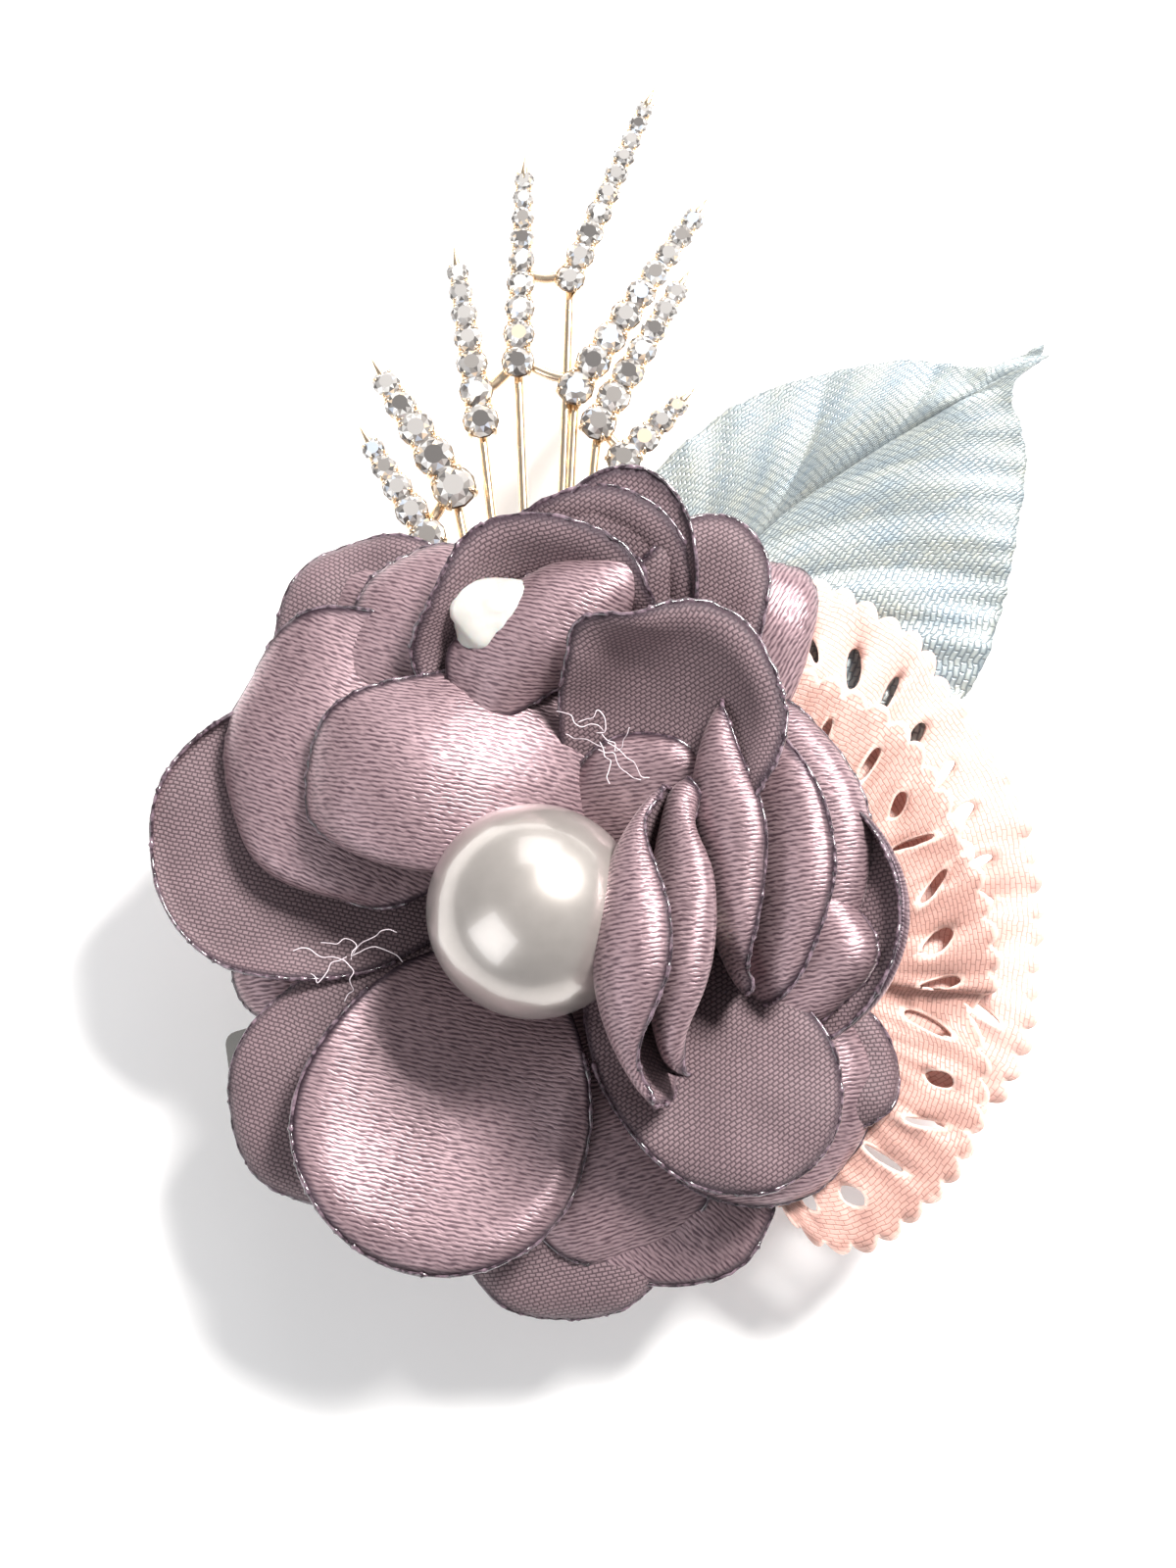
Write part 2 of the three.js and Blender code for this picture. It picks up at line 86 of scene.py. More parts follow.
# ---------------------------------------------------------------- settings
class FlowerSettings(bpy.types.PropertyGroup):
    """Sizes and colours of the satin petals."""

    satin_thickness: FloatProperty(
        name="Satin thickness", description="Thickness of the petal cloth",
        default=0.16 * MM, unit="LENGTH", precision=5)
    rim_radius: FloatProperty(
        name="Singed rim radius", description="Radius of the melted bead along a petal's edge",
        default=0.15 * MM, unit="LENGTH", precision=5)
    float_length: FloatProperty(
        name="Satin float length", description="Length of one thread float on the satin face",
        default=0.95 * MM, unit="LENGTH", precision=5)
    float_pitch: FloatProperty(
        name="Satin float pitch", description="Distance between rows of floats",
        default=0.30 * MM, unit="LENGTH", precision=5)
    petal_light: FloatVectorProperty(
        name="Satin colour", description="Colour of the lit satin face", subtype="COLOR",
        default=(0.36, 0.245, 0.265), min=0, max=1)
    petal_dark: FloatVectorProperty(
        name="Satin depth", description="Colour between the satin floats", subtype="COLOR",
        default=(0.10, 0.058, 0.072), min=0, max=1)


class TrimmingSettings(bpy.types.PropertyGroup):
    """Sizes of the leaf, rosette and crystal branch."""

    scallop_pitch: FloatProperty(
        name="Scallop pitch", description="Width of one scallop on the rosette's edge",
        default=2.0 * MM, unit="LENGTH", precision=5)
    ribbon_thickness: FloatProperty(
        name="Ribbon thickness", description="Thickness of the rosette and leaf ribbon",
        default=0.2 * MM, unit="LENGTH", precision=5)
    wire_radius: FloatProperty(
        name="Branch wire radius", description="Radius of the branch's wires",
        default=0.36 * MM, unit="LENGTH", precision=5)


class StageSettings(bpy.types.PropertyGroup):
    """Camera and lights."""

    lens: FloatProperty(
        name="Lens", description="Focal length of the camera, in millimetres",
        default=58, unit="CAMERA")
    distance: FloatProperty(
        name="Camera distance", description="From the camera to the middle of the view",
        default=171 * MM, unit="LENGTH")
    tilt: FloatProperty(
        name="Camera tilt", description="Tilt of the camera from straight down",
        default=math.radians(9), subtype="ANGLE")
    key_power: FloatProperty(
        name="Light power", description="Watts that every light's strength is a multiple of",
        default=0.9)


# ---------------------------------------------------------------- nodes and materials
def linear(hex_code):
    """An sRGB hex colour as linear RGBA."""
    parts = [int(hex_code[i:i + 2], 16) / 255 for i in (1, 3, 5)]
    return [c / 12.92 if c <= 0.04045 else ((c + 0.055) / 1.055) ** 2.4 for c in parts] + [1.0]


def feed(tree, node, inputs):
    """Fills a node's inputs: a socket is linked and any other value is set."""
    for key, value in inputs.items():
        if isinstance(value, bpy.types.NodeSocket):
            tree.links.new(value, node.inputs[key])
        else:
            node.inputs[key].default_value = value


def add(tree, kind, inputs=None, **settings):
    """Adds one node, with its settings, input values and links."""
    made = tree.nodes.new("ShaderNode" + kind)
    for key, value in settings.items():
        setattr(made, key, value)
    feed(tree, made, inputs or {})
    return made


FACTOR, FIRST, SECOND, MIXED = 0, 6, 7, 2  # a colour Mix node's three inputs and its output
COLOUR = {"data_type": "RGBA"}
TIMES = {"data_type": "RGBA", "blend_type": "MULTIPLY"}


def new_material(name):
    """An empty material and its Principled shader."""
    made = bpy.data.materials.new(name)
    made.use_nodes = True
    return made, made.node_tree, made.node_tree.nodes["Principled BSDF"]


def grained(name, grain, first, second, stretch=None):
    """A new material whose colour drifts between two tones with its grain. Gives the material, its
    tree and shader, the grain and the colour; stretch draws the grain out into lines."""
    made, tree, shader = new_material(name)
    place = add(tree, "TexCoord").outputs["Object"]
    if stretch:
        place = add(tree, "VectorMath", {0: place, 1: stretch}, operation="MULTIPLY").outputs[0]
    fac = add(tree, "TexNoise", {**grain, "Vector": place}).outputs["Fac"]
    colour = add(tree, "Mix", {FACTOR: fac, FIRST: linear(first), SECOND: linear(second)}, **COLOUR)
    return made, tree, shader, fac, colour.outputs[MIXED]


def cloth_map(tree):
    """Cloth coordinates in millimetres, with the threads wandering a little."""
    uv = add(tree, "UVMap", uv_map="cloth").outputs["UV"]
    wander = add(tree, "TexNoise", {"Scale": 0.9, "Detail": 3.0, "Vector": uv})
    centred = add(tree, "VectorMath", {0: wander.outputs["Color"], 1: (0.5, 0.5, 0.5)},
                  operation="SUBTRACT")
    scaled = add(tree, "VectorMath", {0: centred.outputs["Vector"], "Scale": 0.35},
                 operation="SCALE")
    return add(tree, "VectorMath", {0: uv, 1: scaled.outputs["Vector"]},
               operation="ADD").outputs["Vector"]


def clouded(tree, place, scale, low, high, colour):
    """A colour that grows darker and lighter in soft clouds, between two strengths."""
    clouds = add(tree, "TexNoise", {"Scale": scale, "Detail": 3.0, "Vector": place})
    tint = add(tree, "MapRange", {"To Min": low, "To Max": high, "Value": clouds.outputs["Fac"]})
    return add(tree, "Mix", {FACTOR: 1.0, FIRST: colour, SECOND: tint.outputs[0]},
               **TIMES).outputs[MIXED]


def rimmed(tree, near, far, rim, inside):
    """A rim colour that gives way to the colour inside, between two distances in millimetres."""
    distance = add(tree, "Attribute", attribute_name="rim_distance").outputs["Fac"]
    share = add(tree, "MapRange", {"From Min": near, "From Max": far, "Value": distance},
                interpolation_type="SMOOTHSTEP")
    return add(tree, "Mix", {FACTOR: share.outputs[0], FIRST: linear(rim), SECOND: inside},
               **COLOUR).outputs[MIXED]


def threads(tree, place, tones, width, row, gap, shift, strength, depth):
    """Crossing threads: their colour and their bump. The tones are two threads and the gap between
    them; width, row and gap are in millimetres, and a row is shifted by a share of a thread."""
    first, second, between = tones
    grid = add(tree, "TexBrick",
               {"Color1": first, "Color2": second, "Mortar": between, "Scale": 1.0,
                "Mortar Size": gap, "Mortar Smooth": 1.0, "Bias": 0.0, "Brick Width": width,
                "Row Height": row, "Vector": place}, offset=shift, offset_frequency=2)
    lift = add(tree, "Math", {0: 1.0, 1: grid.outputs["Fac"]}, operation="SUBTRACT")
    bump = add(tree, "Bump", {"Strength": strength, "Distance": depth * MM,
                              "Height": lift.outputs[0]})
    return grid.outputs["Color"], bump.outputs["Normal"]


def stepped(tree, fac, stops, interpolation="LINEAR"):
    """The colour of a ramp whose stops are (position, hex colour)."""
    ramp = add(tree, "ValToRGB", {"Fac": fac})
    ramp.color_ramp.interpolation = interpolation
    elements = ramp.color_ramp.elements
    while len(elements) < len(stops):
        elements.new(0.5)
    for element, (position, colour) in zip(elements, stops):
        element.position, element.color = position, linear(colour)
    return ramp.outputs["Color"]


def satin_face(settings):
    """Polyester satin, woven: long warp floats lie side by side and give a soft, stretched glint.
    Real floats lie about 0.1 mm apart, so these are drawn coarser, to show."""
    made, tree, shader = new_material("polyester_satin_woven_face")
    place = cloth_map(tree)
    light, dark = [*settings.petal_light, 1.0], [*settings.petal_dark, 1.0]
    length, pitch = settings.float_length / MM, settings.float_pitch / MM
    rows = add(tree, "TexWave", {"Scale": math.pi / (10 * pitch), "Distortion": 0.5, "Detail": 1.0,
                                 "Vector": place}, bands_direction="Y")
    turned = add(tree, "VectorRotate", {"Angle": math.radians(11), "Vector": place},
                 rotation_type="Z_AXIS")
    drawn = add(tree, "VectorMath", {0: turned.outputs[0], 1: (1.3 / length, 1.9 / pitch, 1.0)},
                operation="MULTIPLY")
    floats = add(tree, "TexNoise", {"Scale": 1.0, "Detail": 1.0, "Vector": drawn.outputs[0]})
    summed = add(tree, "Math", {0: floats.outputs["Fac"], 1: 2.6, 2: rows.outputs["Fac"]},
                 operation="MULTIPLY_ADD")
    height = add(tree, "MapRange", {"From Min": 1.15, "From Max": 2.2,
                                    "Value": summed.outputs[0]}).outputs[0]
    weave = add(tree, "Mix", {FACTOR: height, FIRST: dark, SECOND: light}, **COLOUR)
    toned = clouded(tree, place, 0.16, 0.86, 1.12, weave.outputs[MIXED])
    bump = add(tree, "Bump", {"Strength": 0.5, "Distance": 0.05 * MM, "Height": height})
    feed(tree, shader, {
        "Base Color": rimmed(tree, 0.1, 0.75, "#3b2b35", toned), "Metallic": 0.42, "Roughness": 0.42,
        "Anisotropic": 0.5, "Sheen Weight": 0.3, "Sheen Roughness": 0.35,
        "Sheen Tint": linear("#f3dcdf"), "Specular IOR Level": 0.52,
        "Normal": bump.outputs["Normal"]})
    return made


def satin_back(settings):
    """The same satin's dull back: short weft crossings show as rows of small light dots."""
    made, tree, shader = new_material("polyester_satin_woven_back")
    place = cloth_map(tree)
    light, dark = [*settings.petal_light, 1.0], [*settings.petal_dark, 1.0]
    dot = [c * 1.12 for c in settings.petal_light] + [1.0]
    colour, normal = threads(tree, place, (dot, light, dark), 0.42, 0.29, 0.1, 0.5, 0.6, 0.05)
    toned = clouded(tree, place, 0.2, 0.42, 0.69, colour)
    feed(tree, shader, {
        "Base Color": rimmed(tree, 0.1, 0.8, "#35262f", toned), "Roughness": 0.62,
        "Sheen Weight": 0.25, "Sheen Roughness": 0.5, "Sheen Tint": linear("#e9cdd3"),
        "Specular IOR Level": 0.35, "Normal": normal})
    return made


def singed_rim():
    """Polyester melted by a flame: a hard, dark, glassy bead with small bright blebs."""
    made, tree, shader = new_material("polyester_melted_rim")
    place = add(tree, "TexCoord").outputs["Object"]
    spots = add(tree, "TexNoise", {"Scale": 2200.0, "Detail": 2.0, "Vector": place})
    feed(tree, shader, {
        "Base Color": stepped(tree, spots.outputs["Fac"], ((0.42, "#2e2129"), (0.68, "#7d6873"))),
        "Roughness": 0.22, "Coat Weight": 0.6, "Coat Roughness": 0.08})
    return made


def pearl_lacquer():
    """Acrylic bead under pearl lacquer: a bright coat over a milky, slightly metallic body."""
    made, tree, shader, _, colour = grained(
        "pearl_lacquered_acrylic", {"Scale": 900.0, "Detail": 3.0}, "#aaa39e", "#b7b0ab")
    feed(tree, shader, {"Base Color": colour, "Metallic": 0.58, "Roughness": 0.3,
                        "Coat Weight": 1.0, "Coat Roughness": 0.07})
    return made


def gold_plate():
    """Brass under pale gold plate, polished: warm, bright and a little worn."""
    made, tree, shader, wear, colour = grained(
        "brass_gold_plated", {"Scale": 700.0, "Detail": 4.0}, "#f7e6cf", "#efd3b0")
    rough = add(tree, "MapRange", {"To Min": 0.16, "To Max": 0.34, "Value": wear})
    feed(tree, shader, {"Base Color": colour, "Metallic": 1.0, "Roughness": rough.outputs[0]})
    return made


def crystal():
    """Foil-backed glass stones, faceted: every facet is painted another tone, a painted reflection."""
    made, tree, shader = new_material("glass_crystal_foiled")
    tone = add(tree, "Attribute", attribute_name="facet_painted_reflection").outputs["Fac"]
    # painted reflections: dark and pale greys, a bluish and a peach glint, one to each facet
    stops = ((0.0, "#6f6b69"), (0.18, "#98938f"), (0.42, "#bcb8b5"), (0.76, "#ebe9e6"),
             (0.9, "#cdd6e4"), (0.95, "#ecd6bd"))
    feed(tree, shader, {
        "Base Color": stepped(tree, tone, stops, "CONSTANT"), "Metallic": 0.4, "Roughness": 0.12,
        "Coat Weight": 1.0, "Coat Roughness": 0.02, "Coat IOR": 1.6})
    return made


def blush_ribbon(name, light, deep):
    """Blush satin ribbon, laser-cut, with a painted glow of light along its thin cut edges."""
    made, tree, shader = new_material(name)
    place = cloth_map(tree)
    colour, normal = threads(tree, place, (linear(light), linear(light), linear(deep)),
                             0.75, 0.28, 0.05, 0.4, 0.45, 0.04)
    feed(tree, shader, {
        # painted glow: the paler colour at cut and slot edges stands for light through the thin ribbon
        "Base Color": rimmed(tree, 0.05, 0.4, "#eac6ba", colour), "Roughness": 0.5,
        "Sheen Weight": 0.3, "Sheen Roughness": 0.4, "Sheen Tint": linear("#fbe6e0"),
        "Subsurface Weight": 0.15, "Subsurface Radius": (0.8, 0.5, 0.38),
        "Subsurface Scale": 0.4 * MM, "Normal": normal})
    return made


def silver_brocade():
    """Metallic ribbed ribbon, woven: silver-blue and cream threads that glint in turn."""
    made, tree, shader = new_material("lurex_ribbon_woven")
    place = cloth_map(tree)
    tones = linear("#d3d7d3"), linear("#bcc4c7"), linear("#8b949a")
    colour, normal = threads(tree, place, tones, 0.62, 0.3, 0.1, 0.5, 0.6, 0.06)
    clouds = add(tree, "TexNoise", {"Scale": 0.33, "Detail": 5.0, "Roughness": 0.65,
                                    "Vector": place})
    tint = stepped(tree, clouds.outputs["Fac"], ((0.35, "#a9bac7"), (0.65, "#dfdccf")))
    toned = add(tree, "Mix", {FACTOR: 0.65, FIRST: colour, SECOND: tint}, **TIMES)
    sparkle = add(tree, "TexNoise", {"Scale": 6.0, "Detail": 1.0, "Vector": place})
    rough = add(tree, "MapRange", {"To Min": 0.25, "To Max": 0.6, "Value": sparkle.outputs["Fac"]})
    feed(tree, shader, {"Base Color": toned.outputs[MIXED], "Metallic": 0.35,
                        "Roughness": rough.outputs[0], "Sheen Weight": 0.2, "Normal": normal})
    return made


def nickel_plate():
    """Stamped steel strip under bright nickel plate, with fine rolling lines."""
    made, tree, shader, lines, colour = grained(
        "steel_nickel_plated", {"Scale": 1.0, "Detail": 3.0}, "#d6d3ce", "#c2beb8",
        stretch=(150.0, 2600.0, 2600.0))
    rough = add(tree, "MapRange", {"To Min": 0.14, "To Max": 0.32, "Value": lines})
    bump = add(tree, "Bump", {"Strength": 0.1, "Distance": 0.02 * MM, "Height": lines})
    feed(tree, shader, {"Base Color": colour, "Metallic": 1.0, "Roughness": rough.outputs[0],
                        "Normal": bump.outputs["Normal"]})
    return made


def spring_steel():
    """Drawn spring wire: darker than the plate and slightly oily."""
    made, tree, shader, _, colour = grained(
        "spring_steel_drawn", {"Scale": 1500.0, "Detail": 2.0}, "#a5a29e", "#7d7a77")
    feed(tree, shader, {"Base Color": colour, "Metallic": 1.0, "Roughness": 0.28})
    return made


def pressed_felt():
    """Wool-mix felt, pressed: matted short fibres with no direction."""
    made, tree, shader, fibres, colour = grained(
        "felt_pressed", {"Scale": 1600.0, "Detail": 5.0, "Distortion": 1.5}, "#c9c4ba", "#ece8e0")
    bump = add(tree, "Bump", {"Strength": 0.8, "Distance": 0.12 * MM, "Height": fibres})
    feed(tree, shader, {"Base Color": colour, "Roughness": 0.95, "Sheen Weight": 0.4,
                        "Sheen Roughness": 0.6, "Normal": bump.outputs["Normal"]})
    return made


def hot_melt_glue():
    """Hot-melt glue, set: cloudy white, waxy and a little see-through at thin places."""
    made, tree, shader, cloud, colour = grained(
        "hot_melt_glue_set", {"Scale": 350.0, "Detail": 3.0}, "#a9a6a1", "#c9c6c1")
    bump = add(tree, "Bump", {"Strength": 0.25, "Distance": 0.1 * MM, "Height": cloud})
    feed(tree, shader, {"Base Color": colour, "Roughness": 0.42, "Subsurface Weight": 0.4,
                        "Subsurface Scale": 1.0 * MM, "Normal": bump.outputs["Normal"]})
    return made


# ---------------------------------------------------------------- meshes
def mesh_object(name, points, faces, materials, slots=None, uvs=None, values=None, smooth=True,
                face_values=None):
    """A mesh from points in millimetres. uvs and values are given for each point, face_values for
    each face."""
    mesh = bpy.data.meshes.new(name)
    mesh.from_pydata([tuple(p) for p in np.asarray(points) * MM], [], faces)
    for made in materials:
        mesh.materials.append(made)
    if slots is not None:
        mesh.polygons.foreach_set("material_index", slots)
    mesh.polygons.foreach_set("use_smooth", [smooth] * len(mesh.polygons))
    corners = np.empty(len(mesh.loops), np.int32)
    mesh.loops.foreach_get("vertex_index", corners)
    if uvs is not None:
        layer = mesh.uv_layers.new(name="cloth")
        layer.data.foreach_set("uv", np.asarray(uvs, np.float32)[corners].ravel())
    for key, numbers in (values or {}).items():
        attribute = mesh.attributes.new(key, "FLOAT", "POINT")
        attribute.data.foreach_set("value", np.asarray(numbers, np.float32))
    for key, numbers in (face_values or {}).items():
        attribute = mesh.attributes.new(key, "FLOAT", "FACE")
        attribute.data.foreach_set("value", np.asarray(numbers, np.float32))
    mesh.update()
    made = bpy.data.objects.new(name, mesh)
    bpy.context.scene.collection.objects.link(made)
    return made


def unit(vectors):
    """Vectors scaled to a length of one."""
    vectors = np.asarray(vectors, float)
    return vectors / np.maximum(np.linalg.norm(vectors, axis=-1, keepdims=True), 1e-9)


def sweep(path, radii, sides):
    """Rings of points round a path, with their faces; the radius may change along it."""
    path = np.asarray(path, float)
    count = len(path)
    radii = np.broadcast_to(radii, (count,))
    tangents = unit(np.gradient(path, axis=0))
    side = np.cross(tangents[0], (0.0, 0.0, 1.0))
    if np.linalg.norm(side) < 0.1:
        side = np.cross(tangents[0], (1.0, 0.0, 0.0))
    rings = []
    for i in range(count):
        side = unit(side - tangents[i] * np.dot(side, tangents[i]))
        up = np.cross(side, tangents[i])
        turn = np.arange(sides) * 2 * math.pi / sides
        rings.append(path[i] + radii[i] * (np.outer(np.cos(turn), side) + np.outer(np.sin(turn), up)))
    points = np.concatenate(rings)
    faces = []
    for i in range(count - 1):
        here, there = i * sides, (i + 1) * sides
        for k in range(sides):
            n = (k + 1) % sides
            faces.append((here + k, there + k, there + n, here + n))
    faces.append(tuple(range(sides)))
    faces.append(tuple(range(len(points) - 1, len(points) - sides - 1, -1)))
    return points, faces


def smooth_line(points, steps):
    """A Catmull-Rom line through points, with steps samples between neighbours."""
    points = np.asarray(points, float)
    padded = np.vstack([2 * points[0] - points[1], points, 2 * points[-1] - points[-2]])
    line = []
    for i in range(1, len(padded) - 2):
        a, b, c, d = padded[i - 1:i + 3]
        for t in np.linspace(0, 1, steps, endpoint=False):
            line.append(0.5 * (2 * b + (c - a) * t + (2 * a - 5 * b + 4 * c - d) * t ** 2
                               + (3 * b - a - 3 * c + d) * t ** 3))
    line.append(points[-1])
    return np.array(line)


def join_parts(parts):
    """Several (points, faces) lists as one."""
    points, faces, start = [], [], 0
    for some_points, some_faces in parts:
        points.append(np.asarray(some_points, float))
        faces += [tuple(v + start for v in face) for face in some_faces]
        start += len(some_points)
    return np.concatenate(points), faces


def outline_place(line, share):
    """Points at shares of a line's length."""
    lengths = np.concatenate([[0], np.cumsum(np.linalg.norm(np.diff(line, axis=0), axis=1))])
    at = np.clip(share, 0, 1) * lengths[-1]
    return np.stack([np.interp(at, lengths, line[:, k]) for k in range(3)], axis=-1)


def spaced(line, step):
    """A line resampled at even steps."""
    length = np.linalg.norm(np.diff(line, axis=0), axis=1).sum()
    return outline_place(line, np.linspace(0, 1, max(4, int(length / step))))


def sheet_mesh(name, grid, uvs, rim_distance, thickness, materials, rim_line, rim_radii):
    """A closed two-layer cloth from a grid of points, with a melted bead along rim_line.
    materials are the upper side's, the under side's and the rim's."""
    rows, columns = grid.shape[:2]
    along, across = np.gradient(grid, axis=0), np.gradient(grid, axis=1)
    normals = unit(np.cross(along, across))
    upper = (grid + normals * thickness / 2).reshape(-1, 3)
    under = (grid - normals * thickness / 2).reshape(-1, 3)
    count = rows * columns
    faces, slots = [], []
    for i in range(rows - 1):
        for j in range(columns - 1):
            a = i * columns + j
            faces.append((a, a + columns, a + columns + 1, a + 1))
            faces.append((count + a, count + a + 1, count + a + columns + 1, count + a + columns))
            slots += [0, 1]
    loop = ([*range(columns)] + [i * columns + columns - 1 for i in range(1, rows)]
            + [(rows - 1) * columns + j for j in range(columns - 2, -1, -1)]
            + [i * columns for i in range(rows - 2, 0, -1)])
    for a, b in zip(loop, loop[1:] + loop[:1]):
        faces.append((a, b, count + b, count + a))
        slots.append(2)
    points = np.concatenate([upper, under])
    flat = np.concatenate([uvs.reshape(-1, 2)] * 2)
    distance = np.concatenate([rim_distance.ravel()] * 2)
    if rim_line is not None:
        bead, bead_faces = sweep(rim_line, rim_radii, 6)
        faces += [tuple(v + len(points) for v in face) for face in bead_faces]
        slots += [2] * len(bead_faces)
        points = np.concatenate([points, bead])
        flat = np.concatenate([flat, np.zeros((len(bead), 2))])
        distance = np.concatenate([distance, np.zeros(len(bead))])
    return mesh_object(name, points, faces, materials, slots, flat, {"rim_distance": distance})


def glued(piece, slot, *nodes):
    """A piece of the flower: it rides on the upper jaw and may stand for CAD nodes."""
    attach(piece, JAW)
    if nodes:
        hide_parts(*nodes)
    return piece


# ---------------------------------------------------------------- petals
# Every petal is a disc of satin, narrowed to its root, and bent in four ways: its spine rises and
# falls, its sides cup or fall back, its rim curls where the flame drew it up, and its edge ruffles.
# Places are in millimetres: x and y from the flower's axis, z from the underside of the clip.
# Angles are in degrees; a heading of 0 is +X.
PETAL_DEFAULTS = {
    "rise": (30, 25, 10, -10, -40),  # slope of the spine, from root to tip
    "cup": (15, -20),  # how far the sides turn up, at root and tip
    "curl": (-35, -50, -35),  # how far the rim turns up at the right side, tip and left side
    "curl_band": 2.2,  # width of the rim that the curl takes up
    "lean": 0,  # turn about the spine, left side up
    "taper": 0.4,  # share of the width lost at the root
    "ruffle": 0.3,  # height of the waves along the edge
    "ripple": 0.22,  # height of the folds that run out from the gathered root
    "dull_up": False,  # whether the satin's back is on the upper side
    "weave": 8,  # direction of the threads in plan
}

